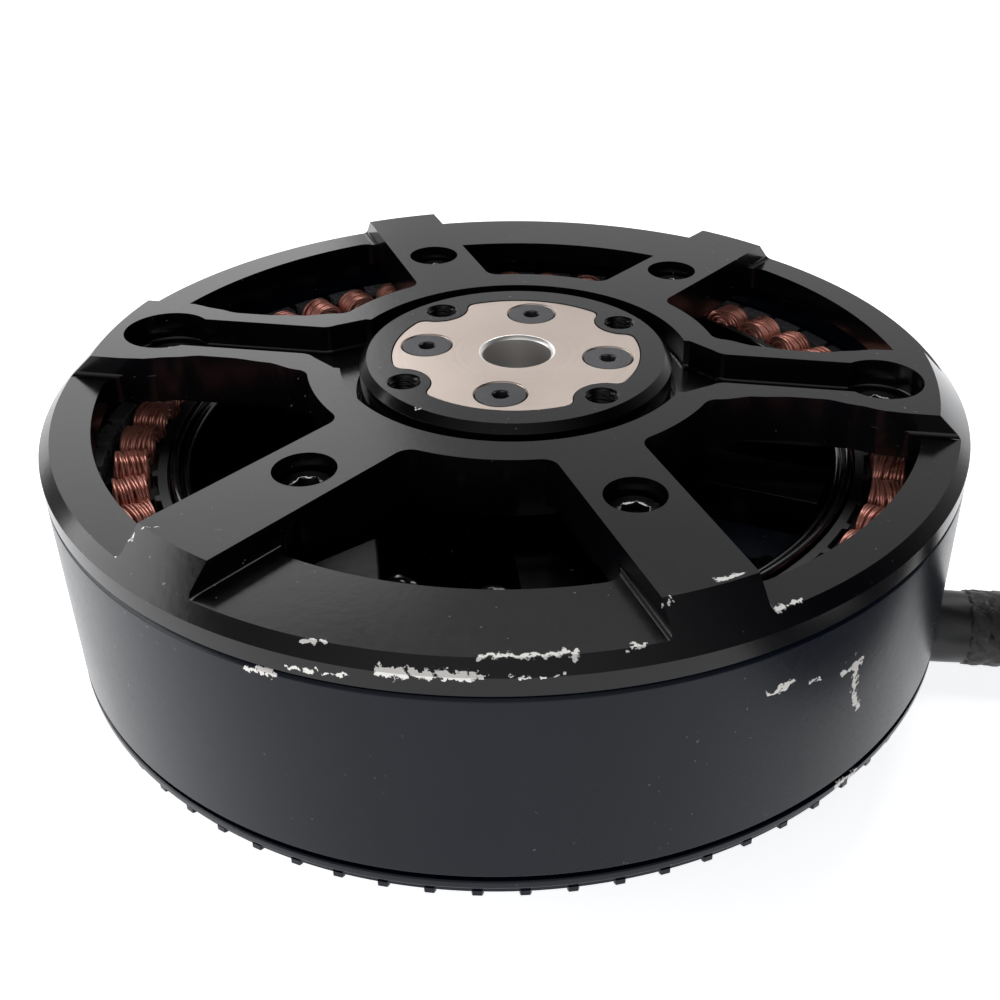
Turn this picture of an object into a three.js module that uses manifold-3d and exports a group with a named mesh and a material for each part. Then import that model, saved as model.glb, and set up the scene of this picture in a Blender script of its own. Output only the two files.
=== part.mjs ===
// Brushless outrunner motor, 150 mm across, with its three-phase lead.
// Millimetres, +Z up. The origin is on the spin axis at the face that the motor stands on.
// The rotor's two pocket arms lie along +X and -X.
import * as THREE from 'three';
import { mergeVertices } from 'three/addons/utils/BufferGeometryUtils.js';
import Module from 'manifold-3d';

const wasm = await Module();
wasm.setup();

// ---------- driving dimensions ----------
const GAP = 0.3; // kept between pieces that touch on the real motor
const FINE = 48; // facets on the outer circles
const MEDIUM = 32; // facets on hub and stator circles
const COARSE = 16; // facets on bearings
const SMALL = 8; // facets on screws

const OUTER_R = 75;
const RIM_TOP_Z = 56;
const ARM_TOP_Z = 59.75;
const HUB_TOP_Z = 60.4;
const COVER_BOTTOM_Z = 51.2;
const WEB_BOTTOM_Z = 51.7;
const POCKET_FLOOR_Z = 54.7;
const CONE_TOP_R = 69.5; // the 45 degree outer cone, at arm height
const CONE_FOOT_R = 75;
const CONE_FOOT_Z = 54.25;

const ARM_PITCH = 60; // degrees between arms
const SPOKE_ANGLES = [60, 120, 240, 300];
const POCKET_ANGLES = [0, 180];
const SPOKE_HALF_WIDTH = 6.9;
const HUB_RING_R = 34.3; // outside of the ring that joins the arms
const RECESS_R = 29.1; // recess round the hub boss
const WEB_HOLE_R = 26.8;
const SIDE_WINDOW_R = 67.4;
const END_WINDOW_R = 60;
const SPOKE_SCREW_R = 46.8;
const POCKET_SCREW_R = 60.4;
const SCREW_SEAT_R = 4.6; // counterbores of the cover screws
const SCREW_HOLE_R = 2.75;
const SPOKE_SEAT_Z = ARM_TOP_Z - 5.6;
const POCKET_SEAT_Z = POCKET_FLOOR_Z - 1.4;
const CHANNEL_HALF_WIDTH = 5.2;
const POCKET_R = 7;

const FLUX_INNER_R = 71.6;
const FLUX_BOTTOM_Z = 19.7;
const MAGNET_COUNT = 56;
const MAGNET_INNER_R = 68.1;
const MAGNET_OUTER_R = 71.3;
const MAGNET_GROOVE_R = 68.8;
const MAGNET_BOTTOM_Z = 25;
const MAGNET_TOP_Z = 45;

const HUB_R = 26;
const HUB_BEVEL = 1.25;
const HUB_FLANGE_R = 33.5;
const SPIDER_BOTTOM_Z = 49.6;
const SPIDER_HALF_WIDTH = 6;
const PROP_HOLES = [[15.8, 13.7], [-15.8, 13.7], [-15.8, -13.7], [15.8, -13.7]];
const PROP_HOLE_R = 2.4;
const PLATE_THICK = 2.8;
const LOBE_R = 20.6;
const NOTCH_R = 5.4; // round each propeller bolt hole
const PLATE_SCREW_R = 15.3;
const PLATE_SCREW_ANGLES = [0, 90, 180, 270];
const PLATE_HOLE_R = 2.3;
const SHAFT_R = 10;
const SHAFT_BORE_R = 5.7;
const SHAFT_BOTTOM_Z = 16.6;

const SLOT_COUNT = 48;
const TOOTH_PITCH = 360 / SLOT_COUNT;
const FIRST_TOOTH_ANGLE = TOOTH_PITCH / 2;
const CORE_INNER_R = 57.6;
const TOOTH_ROOT_R = 60.2;
const TOOTH_TIP_R = 67.5;
const TOOTH_HALF_WIDTH = 1.6;
const TIP_HALF_ANGLE = 3.1; // degrees
const CORE_BOTTOM_Z = 26;
const CORE_TOP_Z = 44;
const COIL_INNER_R = 60.6;
const COIL_OUTER_R = 66.1;
const COIL_HALF_WIDTH = 3.6;
const COIL_BOTTOM_Z = 22.5;
const COIL_TOP_Z = 47.5;
const PHASES = ['a', 'b', 'c'];

const CARRIER_OUTER_R = 57.3;
const CARRIER_INNER_R = 54.2;
const CARRIER_BOTTOM_Z = 18.7;
const CARRIER_TOP_Z = 46.5;
const CARRIER_LIP_R = 55.9;
const CARRIER_LIP_Z = 45;
const HOUSING_R = 26;
const HOUSING_TOP_Z = 45.8;
const HOUSING_ARM_ANGLE = -13.5; // of the first arm
const HOUSING_ARM_COUNT = 6;
const HOUSING_ARM_WIDTH = 10.4;
const HOUSING_ARM_BOTTOM_Z = 39;

const BEARING_OUTER_R = 15.7;
const BEARING_SHOULDER_R = 14;
const BEARING_INNER_R = 10.3;
const BEARING_HEIGHT = 7;
const UPPER_BEARING_Z = 38.3;
const LOWER_BEARING_Z = 19.6;
const BALL_COUNT = 9;

const RIB_COUNT = 72;
const RIB_BOTTOM_Z = 15.5;
const BASE_BOTTOM_Z = 16.1;
const BASE_TOP_Z = 18.4;
const BAND_BOTTOM_Z = 17.6;
const BAND_TOP_Z = 19.1;
const BOSS_R = 34;
const BASE_SCREW_R = 21;
const BASE_SCREW_COUNT = 6;
const BASE_SEAT_Z = 10; // floor of the counterbores under the base
const BASE_SEAT_R = 3.6;
const BASE_HOLE_R = 2.2;
const MOUNT_HOLE_R = 2.1;
const MOUNT_CIRCLE_R = 28.5;

const CABLE_R = 7;
const CABLE_ANGLE = 2.5; // degrees, the direction in which the lead leaves
const OUTLET_END = 54; // how far the outlet block reaches from the axis
const BOOT_START = 52.4;
const BOOT_END = 87;
const COIL_CENTRE = [168.5, -54.8];
const OUTER_TURN_R = 77; // centre line of the first turn, which the others lie inside
const INNER_TURN_R = 62;
const LOOP_LIFT = 1.2; // the coil rests on its tie
const CONNECTOR_LENGTH = 40;

// ---------- solid helpers ----------
const rad = (degrees) => (degrees * Math.PI) / 180;
const polar = (radius, degrees) => [radius * Math.cos(rad(degrees)), radius * Math.sin(rad(degrees))];

function toSolid(geometry) {
  const bare = geometry.index ? geometry.toNonIndexed() : geometry.clone();
  bare.deleteAttribute('normal');
  bare.deleteAttribute('uv');
  const merged = mergeVertices(bare, 1e-5);
  return new wasm.Manifold(new wasm.Mesh({
    numProp: 3,
    vertProperties: new Float32Array(merged.attributes.position.array),
    triVerts: new Uint32Array(merged.index.array),
  }));
}

function toGeometry(solid) {
  const mesh = solid.getMesh();
  const geometry = new THREE.BufferGeometry();
  geometry.setAttribute('position', new THREE.BufferAttribute(new Float32Array(mesh.vertProperties), 3));
  geometry.setIndex(new THREE.BufferAttribute(new Uint32Array(mesh.triVerts), 1));
  geometry.computeVertexNormals();
  return geometry;
}

// A profile of [radius, z] points turned about Z. It closes on itself or on the axis.
function turned(profile, facets) {
  const points = profile.map(([r, z]) => new THREE.Vector2(r, z));
  const closed = points[0].x > 0 ? [...points, points[0].clone()] : points;
  const geometry = new THREE.LatheGeometry(closed, facets);
  geometry.rotateX(Math.PI / 2);
  const solid = toSolid(geometry);
  if (solid.volume() > 0) return solid;
  return toSolid(flipped(geometry));
}

function flipped(geometry) {
  const copy = geometry.toNonIndexed();
  const p = copy.attributes.position.array;
  for (let i = 0; i < p.length; i += 9) {
    for (let k = 0; k < 3; k += 1) {
      [p[i + 3 + k], p[i + 6 + k]] = [p[i + 6 + k], p[i + 3 + k]];
    }
  }
  return copy;
}

function ring(innerR, outerR, bottomZ, topZ, facets) {
  return turned([[innerR, bottomZ], [outerR, bottomZ], [outerR, topZ], [innerR, topZ]], facets);
}

function rod(radius, bottomZ, topZ, facets, x = 0, y = 0) {
  return turned([[0, bottomZ], [radius, bottomZ], [radius, topZ], [0, topZ]], facets).translate([x, y, 0]);
}

// An outline of [x, y] points raised from bottomZ to topZ, with optional holes.
function prism(outline, bottomZ, topZ, holes = []) {
  const shape = new THREE.Shape(outline.map(([x, y]) => new THREE.Vector2(x, y)));
  for (const hole of holes) {
    shape.holes.push(new THREE.Path(hole.map(([x, y]) => new THREE.Vector2(x, y))));
  }
  const geometry = new THREE.ExtrudeGeometry(shape, { depth: topZ - bottomZ, bevelEnabled: false });
  geometry.translate(0, 0, bottomZ);
  return toSolid(geometry);
}

function block(length, width, bottomZ, topZ, centreX, centreY, degrees) {
  const geometry = new THREE.BoxGeometry(length, width, topZ - bottomZ);
  geometry.translate(centreX, centreY, (bottomZ + topZ) / 2);
  geometry.rotateZ(rad(degrees));
  return toSolid(geometry);
}

function arc(radius, fromDegrees, toDegrees, steps, cx = 0, cy = 0) {
  return Array.from({ length: steps + 1 }, (_, i) => {
    const [x, y] = polar(radius, fromDegrees + ((toDegrees - fromDegrees) * i) / steps);
    return [cx + x, cy + y];
  });
}

function circle(radius, steps, cx = 0, cy = 0) {
  return arc(radius, 0, 360, steps, cx, cy).slice(0, steps);
}

function union(solids) {
  return solids.reduce((sum, solid) => sum.add(solid));
}

function cut(solid, tools) {
  return tools.reduce((left, tool) => left.subtract(tool), solid);
}

// A round tube of the given radius along a smooth curve through the points.
function tube(points, radius, sides, steps) {
  const stops = points.map((p) => new THREE.Vector3(...p));
  const curve = new THREE.CatmullRomCurve3(stops, false, 'centripetal');
  const section = new THREE.Shape(circle(radius, sides).map(([x, y]) => new THREE.Vector2(x, y)));
  return toSolid(new THREE.ExtrudeGeometry(section, { steps, bevelEnabled: false, extrudePath: curve }));
}

// ---------- the group and its finishes ----------
const FINISHES = {
  cover_black: [0x2b2b2e, 0.32, 0.6],
  ring_black: [0x24262c, 0.38, 0.5],
  bare_steel: [0xc2b6a8, 0.35, 0.9],
  black_screw: [0x17181b, 0.3, 0.8],
  plate_screw: [0x4a4b4e, 0.45, 0.7],
  magnet: [0x6f7276, 0.3, 0.9],
  core_steel: [0x2c2a2a, 0.5, 0.6],
  copper: [0x8a3f2c, 0.35, 0.7],
  insulator: [0x15171a, 0.5, 0.0],
  bearing_steel: [0xa9abad, 0.2, 1.0],
  brass: [0xb8923f, 0.3, 1.0],
  sleeve: [0x1a1b1d, 0.75, 0.0],
  shrink: [0x232529, 0.45, 0.0],
  plug: [0x1c1d1f, 0.5, 0.0],
};

const motor = new THREE.Group();
motor.name = 'outrunner_motor';

function place(name, solid, finish) {
  const [color, roughness, metalness] = FINISHES[finish];
  const material = new THREE.MeshStandardMaterial({ color, roughness, metalness });
  material.name = finish;
  const mesh = new THREE.Mesh(toGeometry(solid), material);
  mesh.name = name;
  motor.add(mesh);
}

// ---------- rotor: the spoked cover ----------
// Half width of a pocket arm at a distance along it: broad at both ends, narrow between.
const POCKET_ARM_OUTLINE = [
  [20, 11.2], [34, 11], [40, 9.2], [46, 8.5], [51, 8.5], [56, 9.8], [60, 11], [64, 11.3], [90, 11.3],
];

// One opening between two arms, out to the given radius. First and second say how each arm is shaped.
function gapBetweenArms(angle, outerR) {
  const arms = [angle, angle + ARM_PITCH];
  const sides = arms.map((armAngle, index) => {
    const side = index === 0 ? 1 : -1;
    const isPocket = armAngle % 180 === 0;
    const line = isPocket ? POCKET_ARM_OUTLINE : [[20, SPOKE_HALF_WIDTH], [90, SPOKE_HALF_WIDTH]];
    return line.map(([along, half]) => {
      const reach = Math.hypot(along, half);
      return polar(reach, armAngle + (side * Math.atan2(half, along) * 180) / Math.PI);
    });
  });
  const outline = [...sides[0], ...sides[1].reverse()];
  const between = prism(outline, 40, 70);
  return between.intersect(ring(HUB_RING_R, outerR, 39, 71, FINE));
}

function windowRadius(angle) {
  const isBetweenSpokes = angle === 60 || angle === 240;
  return isBetweenSpokes ? END_WINDOW_R : SIDE_WINDOW_R;
}

function coverBlank() {
  return turned([
    [WEB_HOLE_R, WEB_BOTTOM_Z],
    [FLUX_INNER_R - 1, WEB_BOTTOM_Z],
    [FLUX_INNER_R - 1, COVER_BOTTOM_Z],
    [OUTER_R, COVER_BOTTOM_Z],
    [CONE_FOOT_R, CONE_FOOT_Z],
    [CONE_TOP_R, ARM_TOP_Z],
    [WEB_HOLE_R, ARM_TOP_Z],
  ], FINE);
}

function keyholeCut(angle) {
  const channel = [[24, -10], [30, -10], [33, -CHANNEL_HALF_WIDTH - 0.8], [37, -CHANNEL_HALF_WIDTH]];
  const far = [[55, -CHANNEL_HALF_WIDTH]];
  const lower = [...channel, ...far];
  const upper = lower.map(([x, y]) => [x, -y]).reverse();
  const slot = prism([...lower, ...upper], POCKET_FLOOR_Z, 70);
  const pocket = rod(POCKET_R, POCKET_FLOOR_Z, 70, MEDIUM, POCKET_SCREW_R, 0);
  const screwSeat = rod(SCREW_SEAT_R, POCKET_SEAT_Z, 70, COARSE, POCKET_SCREW_R, 0);
  const screwHole = rod(SCREW_HOLE_R, 40, 70, SMALL, POCKET_SCREW_R, 0);
  return union([slot, pocket, screwSeat, screwHole]).rotate([0, 0, angle]);
}

function spokeScrewCut(angle) {
  const [x, y] = polar(SPOKE_SCREW_R, angle);
  return union([
    rod(SCREW_SEAT_R, SPOKE_SEAT_Z, 70, COARSE, x, y),
    rod(SCREW_HOLE_R, 40, 70, SMALL, x, y),
  ]);
}

function bellCover() {
  let cover = coverBlank();
  for (let angle = 0; angle < 360; angle += ARM_PITCH) {
    cover = cover.subtract(gapBetweenArms(angle, windowRadius(angle)));
    const aboveRim = ring(1, OUTER_R + 6, RIM_TOP_Z, 71, COARSE);
    const rimStep = gapBetweenArms(angle, OUTER_R + 5).intersect(aboveRim);
    cover = cover.subtract(rimStep);
  }
  cover = cover.subtract(rod(RECESS_R, POCKET_FLOOR_Z, 70, MEDIUM));
  cover = cut(cover, POCKET_ANGLES.map(keyholeCut));
  return cut(cover, SPOKE_ANGLES.map(spokeScrewCut));
}

// ---------- rotor: magnets, hub and shaft ----------
function magnetRing() {
  const inner = [];
  const step = 360 / MAGNET_COUNT;
  for (let i = 0; i < MAGNET_COUNT; i += 1) {
    inner.push(polar(MAGNET_INNER_R, i * step));
    inner.push(polar(MAGNET_INNER_R, (i + 0.84) * step));
    inner.push(polar(MAGNET_GROOVE_R, (i + 0.92) * step));
  }
  return prism(circle(MAGNET_OUTER_R, MAGNET_COUNT), MAGNET_BOTTOM_Z, MAGNET_TOP_Z, [inner]);
}

// The lobed flange on top of the shaft: a disc with a round notch at each propeller bolt.
function lobedOutline(grow) {
  const disc = rod(LOBE_R + grow, 0, 10, MEDIUM);
  const notches = PROP_HOLES.map(([x, y]) => rod(NOTCH_R - grow, -1, 11, COARSE, x * 1.06, y * 1.06));
  return cut(disc, notches);
}

function rotorHub() {
  const boss = turned([
    [SHAFT_R + GAP, SPIDER_BOTTOM_Z],
    [HUB_FLANGE_R, SPIDER_BOTTOM_Z],
    [HUB_FLANGE_R, WEB_BOTTOM_Z - GAP],
    [HUB_R, WEB_BOTTOM_Z - GAP],
    [HUB_R, HUB_TOP_Z - HUB_BEVEL],
    [HUB_R - HUB_BEVEL, HUB_TOP_Z],
    [SHAFT_R + GAP, HUB_TOP_Z],
  ], MEDIUM);
  const arms = [...SPOKE_ANGLES, ...POCKET_ANGLES].map((angle) => {
    const reach = (angle % 180 === 0 ? POCKET_SCREW_R : SPOKE_SCREW_R) + 5;
    const start = 28;
    const width = SPIDER_HALF_WIDTH * 2;
    return block(reach - start, width, SPIDER_BOTTOM_Z, WEB_BOTTOM_Z - GAP, (reach + start) / 2, 0, angle);
  });
  const screwHoles = [
    ...SPOKE_ANGLES.map((angle) => rod(SCREW_HOLE_R, 40, 52, SMALL, ...polar(SPOKE_SCREW_R, angle))),
    ...POCKET_ANGLES.map((angle) => rod(SCREW_HOLE_R, 40, 52, SMALL, ...polar(POCKET_SCREW_R, angle))),
  ];
  const flangeSeat = lobedOutline(GAP).translate([0, 0, HUB_TOP_Z - PLATE_THICK - GAP - 0.1]);
  const propHoles = PROP_HOLES.map(([x, y]) => turned([
    [0, 52], [PROP_HOLE_R, 52], [PROP_HOLE_R, HUB_TOP_Z - 0.5], [PROP_HOLE_R + 0.7, HUB_TOP_Z + 0.2],
    [0, HUB_TOP_Z + 0.2],
  ], SMALL).translate([x, y, 0]));
  const plateHoles = PLATE_SCREW_ANGLES.map((angle) => (
    rod(PLATE_HOLE_R, 50, 60, SMALL, ...polar(PLATE_SCREW_R, angle))
  ));
  return cut(union([boss, ...arms]), [flangeSeat, ...propHoles, ...plateHoles, ...screwHoles]);
}

function flangedShaft() {
  const plateTop = HUB_TOP_Z - 0.1;
  const plateBottom = plateTop - PLATE_THICK;
  const slab = rod(LOBE_R + 1, 0, PLATE_THICK, COARSE);
  const plate = lobedOutline(0).intersect(slab).translate([0, 0, plateBottom]);
  const stem = turned([
    [0, SHAFT_BOTTOM_Z], [SHAFT_R, SHAFT_BOTTOM_Z], [SHAFT_R, 17.6], [SHAFT_R - 1, 17.6],
    [SHAFT_R - 1, 19.2], [SHAFT_R, 19.2], [SHAFT_R, plateBottom + 1], [0, plateBottom + 1],
  ], COARSE);
  const bore = turned([
    [0, 10], [SHAFT_BORE_R, 10], [SHAFT_BORE_R, plateTop - 0.75], [SHAFT_BORE_R + 0.85, plateTop + 0.1],
    [0, plateTop + 0.1],
  ], COARSE);
  const countersinks = PLATE_SCREW_ANGLES.map((angle) => turned([
    [0, 50], [PLATE_HOLE_R, 50], [PLATE_HOLE_R, plateTop - 2.3], [4.45, plateTop - 0.15],
    [4.45, plateTop + 1], [0, plateTop + 1],
  ], SMALL * 2).translate([...polar(PLATE_SCREW_R, angle), 0]));
  return cut(union([plate, stem]), [bore, ...countersinks]);
}

// ---------- fasteners ----------
function hexSocket(acrossFlats, bottomZ, topZ) {
  return prism(circle(acrossFlats / 2 / Math.cos(rad(30)), 6), bottomZ, topZ);
}

function countersunkScrew(x, y) {
  const top = HUB_TOP_Z - 0.2;
  const body = turned([
    [0, 52.5], [1.9, 52.5], [1.9, top - 2.4], [4.05, top - 0.3], [4.05, top], [0, top],
  ], SMALL);
  return body.subtract(hexSocket(2.5, top - 1.6, top + 1)).translate([x, y, 0]);
}

// A socket cap screw on the Z axis, standing a gap clear of the face at seatZ.
function capScrew({ seatZ, headHeight, headR, shankBottomZ, shankR, socket }) {
  const top = seatZ + GAP + headHeight;
  const body = turned([
    [0, shankBottomZ], [shankR, shankBottomZ], [shankR, seatZ + GAP], [headR, seatZ + GAP],
    [headR, top], [0, top],
  ], SMALL);
  return body.subtract(hexSocket(socket, top - headHeight * 0.55, top + 1));
}

const SPOKE_SCREW = {
  seatZ: SPOKE_SEAT_Z, headHeight: 2.7, headR: 4.25, shankBottomZ: 49.4, shankR: 2.4, socket: 4,
};
const POCKET_SCREW = { ...SPOKE_SCREW, seatZ: POCKET_SEAT_Z, headHeight: 1.9 };
// Heights below the mounting face: these screws go in from underneath.
const BASE_SCREW = {
  seatZ: -BASE_SEAT_Z - GAP, headHeight: 3.2, headR: 3.2, shankBottomZ: -26, shankR: 1.9, socket: 3,
};

// ---------- stator ----------
function statorCore() {
  const outline = [];
  const shoulderR = TOOTH_TIP_R - 0.9;
  for (let i = 0; i < SLOT_COUNT; i += 1) {
    const angle = FIRST_TOOTH_ANGLE + i * TOOTH_PITCH;
    const rootTurn = (Math.asin(TOOTH_HALF_WIDTH / TOOTH_ROOT_R) * 180) / Math.PI;
    const neckTurn = (Math.asin(TOOTH_HALF_WIDTH / shoulderR) * 180) / Math.PI;
    outline.push(polar(TOOTH_ROOT_R, angle - rootTurn));
    outline.push(polar(shoulderR, angle - neckTurn));
    outline.push(polar(TOOTH_TIP_R, angle - TIP_HALF_ANGLE));
    outline.push(polar(TOOTH_TIP_R, angle + TIP_HALF_ANGLE));
    outline.push(polar(shoulderR, angle + neckTurn));
    outline.push(polar(TOOTH_ROOT_R, angle + rootTurn));
  }
  return prism(outline, CORE_BOTTOM_Z, CORE_TOP_Z, [circle(CORE_INNER_R, SLOT_COUNT)]);
}

// One coil round one tooth: a frame with the tooth through its middle.
function toothCoil(degrees) {
  const half = COIL_HALF_WIDTH;
  const inner = TOOTH_HALF_WIDTH + GAP;
  const length = COIL_OUTER_R - COIL_INNER_R;
  const centre = (COIL_OUTER_R + COIL_INNER_R) / 2;
  const outerBlock = block(length, half * 2, COIL_BOTTOM_Z, COIL_TOP_Z, centre, 0, degrees);
  const below = CORE_BOTTOM_Z - GAP;
  const above = CORE_TOP_Z + GAP;
  const toothSpace = block(length + 2, inner * 2, below, above, centre, 0, degrees);
  return outerBlock.subtract(toothSpace);
}

// A phase owns two neighbouring teeth in every six. Its ring of wire under the coils joins them.
function phaseWinding(phaseIndex) {
  const ringR = 61 + phaseIndex * 1.9;
  const wire = 0.8;
  let winding = ring(ringR, ringR + wire, 20.2, 21.2, SLOT_COUNT / 2);
  for (let tooth = 0; tooth < SLOT_COUNT; tooth += 1) {
    if (Math.floor(tooth / 2) % PHASES.length !== phaseIndex) continue;
    const angle = FIRST_TOOTH_ANGLE + tooth * TOOTH_PITCH;
    const tab = block(wire, wire, 20.4, COIL_BOTTOM_Z + 0.5, ringR + wire / 2, 0, angle);
    winding = union([winding, tab, toothCoil(angle)]);
  }
  return winding;
}

function insulatorRing(bottomZ) {
  return ring(CORE_INNER_R + 0.1, TOOTH_ROOT_R, bottomZ, bottomZ + 1.2, MEDIUM);
}

// The ring that the core is bonded to, with a stepped lip.
function statorCarrier() {
  return turned([
    [CARRIER_INNER_R, CARRIER_BOTTOM_Z], [CARRIER_OUTER_R, CARRIER_BOTTOM_Z],
    [CARRIER_OUTER_R, CARRIER_TOP_Z],
    [CARRIER_LIP_R, CARRIER_TOP_Z], [CARRIER_LIP_R, CARRIER_LIP_Z], [CARRIER_INNER_R, CARRIER_LIP_Z],
  ], MEDIUM);
}

// The tube that holds both bearings, with the arms that stay it to the carrier ring.
function bearingHousing() {
  const housing = turned([
    [BEARING_OUTER_R + GAP, CARRIER_BOTTOM_Z], [HOUSING_R, CARRIER_BOTTOM_Z], [HOUSING_R, HOUSING_TOP_Z],
    [BEARING_OUTER_R + GAP, HOUSING_TOP_Z], [BEARING_OUTER_R + GAP, UPPER_BEARING_Z - GAP],
    [BEARING_SHOULDER_R, UPPER_BEARING_Z - GAP],
    [BEARING_SHOULDER_R, LOWER_BEARING_Z + BEARING_HEIGHT + GAP],
    [BEARING_OUTER_R + GAP, LOWER_BEARING_Z + BEARING_HEIGHT + GAP],
  ], COARSE);
  const reach = CARRIER_INNER_R * Math.cos(Math.PI / MEDIUM) - 2 * GAP;
  const start = HOUSING_R - 1;
  const arms = Array.from({ length: HOUSING_ARM_COUNT }, (_, i) => block(
    reach - start, HOUSING_ARM_WIDTH, HOUSING_ARM_BOTTOM_Z, HOUSING_TOP_Z, (reach + start) / 2, 0,
    HOUSING_ARM_ANGLE + (i * 360) / HOUSING_ARM_COUNT,
  ));
  const screwHoles = baseScrewPlaces().map(([x, y]) => rod(BASE_HOLE_R, 10, 30, SMALL, x, y));
  return cut(union([housing, ...arms]), screwHoles);
}

function baseScrewPlaces() {
  const pitch = 360 / BASE_SCREW_COUNT;
  return Array.from({ length: BASE_SCREW_COUNT }, (_, i) => polar(BASE_SCREW_R, (i + 0.5) * pitch));
}

// The ribs under the base: a ring with long radial teeth.
function coolingRibs() {
  const outline = [];
  const step = 360 / RIB_COUNT;
  for (let i = 0; i < RIB_COUNT; i += 1) {
    outline.push(polar(56, (i - 0.2) * step));
    outline.push(polar(74.2, (i - 0.12) * step));
    outline.push(polar(74.2, (i + 0.12) * step));
    outline.push(polar(56, (i + 0.2) * step));
  }
  return prism(outline, RIB_BOTTOM_Z, BASE_BOTTOM_Z + 0.3, [circle(54, COARSE)]);
}

function basePlate() {
  const plate = turned([
    [14, 0], [BOSS_R, 0], [BOSS_R, BASE_BOTTOM_Z], [74, BASE_BOTTOM_Z], [74, BAND_BOTTOM_Z],
    [OUTER_R, BAND_BOTTOM_Z + 0.4], [OUTER_R, BAND_TOP_Z], [71, BAND_TOP_Z], [71, BASE_TOP_Z],
    [14, BASE_TOP_Z],
  ], FINE);
  const outletLength = OUTLET_END - 30;
  const outlet = block(outletLength, 19, 0, BASE_BOTTOM_Z + 0.5, 30 + outletLength / 2, 0, CABLE_ANGLE);
  const outletBore = turned([[0, 37], [CABLE_R + GAP, 37], [CABLE_R + GAP, 60], [0, 60]], COARSE)
    .rotate([0, 90, 0]).translate([0, 0, CABLE_R + 0.6]).rotate([0, 0, CABLE_ANGLE]);
  const leadSlot = block(15, 6.4, CABLE_R, 30, 45, 0, CABLE_ANGLE);
  const screwHoles = baseScrewPlaces().map(([x, y]) => union([
    rod(BASE_SEAT_R, -1, BASE_SEAT_Z, SMALL, x, y),
    rod(BASE_HOLE_R, 5, 30, SMALL, x, y),
  ]));
  const mountHoles = [45, 135, 225, 315].map((angle) => (
    rod(MOUNT_HOLE_R, -1, 10, SMALL, ...polar(MOUNT_CIRCLE_R, angle))
  ));
  return cut(union([plate, coolingRibs(), outlet]), [outletBore, leadSlot, ...screwHoles, ...mountHoles]);
}

// ---------- bearings ----------
// The balls and their cage as one scalloped ring.
function ballRing(bottomZ) {
  const ballR = 0.9;
  const cageR = 0.4;
  const pathR = 13.1;
  const middleZ = bottomZ + BEARING_HEIGHT / 2;
  const edge = (side) => Array.from({ length: BALL_COUNT * 2 }, (_, i) => {
    const half = i % 2 === 0 ? ballR : cageR;
    return polar(pathR + side * half, (i * 180) / BALL_COUNT);
  });
  return prism(edge(1), middleZ - ballR, middleZ + ballR, [edge(-1)]);
}

function placeBearing(name, bottomZ) {
  const topZ = bottomZ + BEARING_HEIGHT;
  place(`${name}_outer_race`, ring(14.4, BEARING_OUTER_R, bottomZ, topZ, COARSE), 'bearing_steel');
  place(`${name}_inner_race`, ring(BEARING_INNER_R, 11.8, bottomZ, topZ, COARSE), 'bearing_steel');
  place(`${name}_balls`, ballRing(bottomZ), 'bearing_steel');
}

// ---------- the leads and the cable ----------
const SPLICE_ANGLES = [-99.5, -84, -63];
const SPLICE_R = 50.2;
const LEAD_LANES = [40.6, 45, 49.4]; // radius of each lead's run round the floor of the motor
const LEAD_R = 2.05;
const LEAD_FLOOR_Z = 21;

function splice(angle) {
  const geometry = new THREE.SphereGeometry(1, 12, 8);
  geometry.scale(3, 3.2, 2.9);
  geometry.translate(SPLICE_R, 0, 45.9);
  geometry.rotateZ(rad(angle));
  return toSolid(geometry);
}

function phaseLead(index) {
  const lane = LEAD_LANES[index];
  const startAngle = SPLICE_ANGLES[index];
  const points = [
    [...polar(SPLICE_R, startAngle), 42.7],
    [...polar(SPLICE_R, startAngle), 37],
    [...polar((SPLICE_R + lane) / 2, startAngle + 1), 28],
    [...polar(lane, startAngle + 6), LEAD_FLOOR_Z + 0.8],
  ];
  const runStart = startAngle + 12;
  const runEnd = CABLE_ANGLE - 9;
  const runSteps = 6;
  for (let i = 0; i <= runSteps; i += 1) {
    points.push([...polar(lane, runStart + ((runEnd - runStart) * i) / runSteps), LEAD_FLOOR_Z]);
  }
  points.push([...polar(lane, CABLE_ANGLE - 1), LEAD_FLOOR_Z - 1.4]);
  points.push([...polar(lane, CABLE_ANGLE), LEAD_FLOOR_Z - 5]);
  points.push([...polar(lane, CABLE_ANGLE), 10]);
  return tube(points, LEAD_R, 8, 22);
}

// The tapered sleeve over the root of the cable.
function cableBoot() {
  const length = BOOT_END - BOOT_START;
  return turned([
    [0, 0], [CABLE_R, 0], [CABLE_R, length * 0.75], [CABLE_R - 0.7, length], [0, length],
  ], COARSE).rotate([0, 90, 0]).translate([BOOT_START, 0, CABLE_R + 0.6]).rotate([0, 0, CABLE_ANGLE]);
}

// The lead's run from the boot to the coil, chosen by hand.
const CABLE_ROUTE = [
  [87.2, 3.8, 7.6], [91.5, 4, 7.6], [96, 4.2, 7.6], [100.5, 4.5, 7.6], [105, 5.1, 7.7],
  [109.4, 6.1, 7.8], [113.5, 7.4, 7.9],
];

const coilPoint = (radius, turn, z) => {
  const [x, y] = polar(radius, 90 - turn);
  return [COIL_CENTRE[0] + x, COIL_CENTRE[1] + y, z];
};

// It stops against the side of the coil that it winds into.
function cableRun() {
  const coilSide = rod(OUTER_TURN_R + CABLE_R + GAP, -1, 40, 36, ...COIL_CENTRE);
  return tube(CABLE_ROUTE, CABLE_R, 10, 6).subtract(coilSide);
}

// The coil's end climbs out of the inner turn and lies on top of the two turns.
const TAIL_R = (OUTER_TURN_R + INNER_TURN_R) / 2;
const TAIL_Z = LOOP_LIFT + CABLE_R * 3 + GAP;
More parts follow.
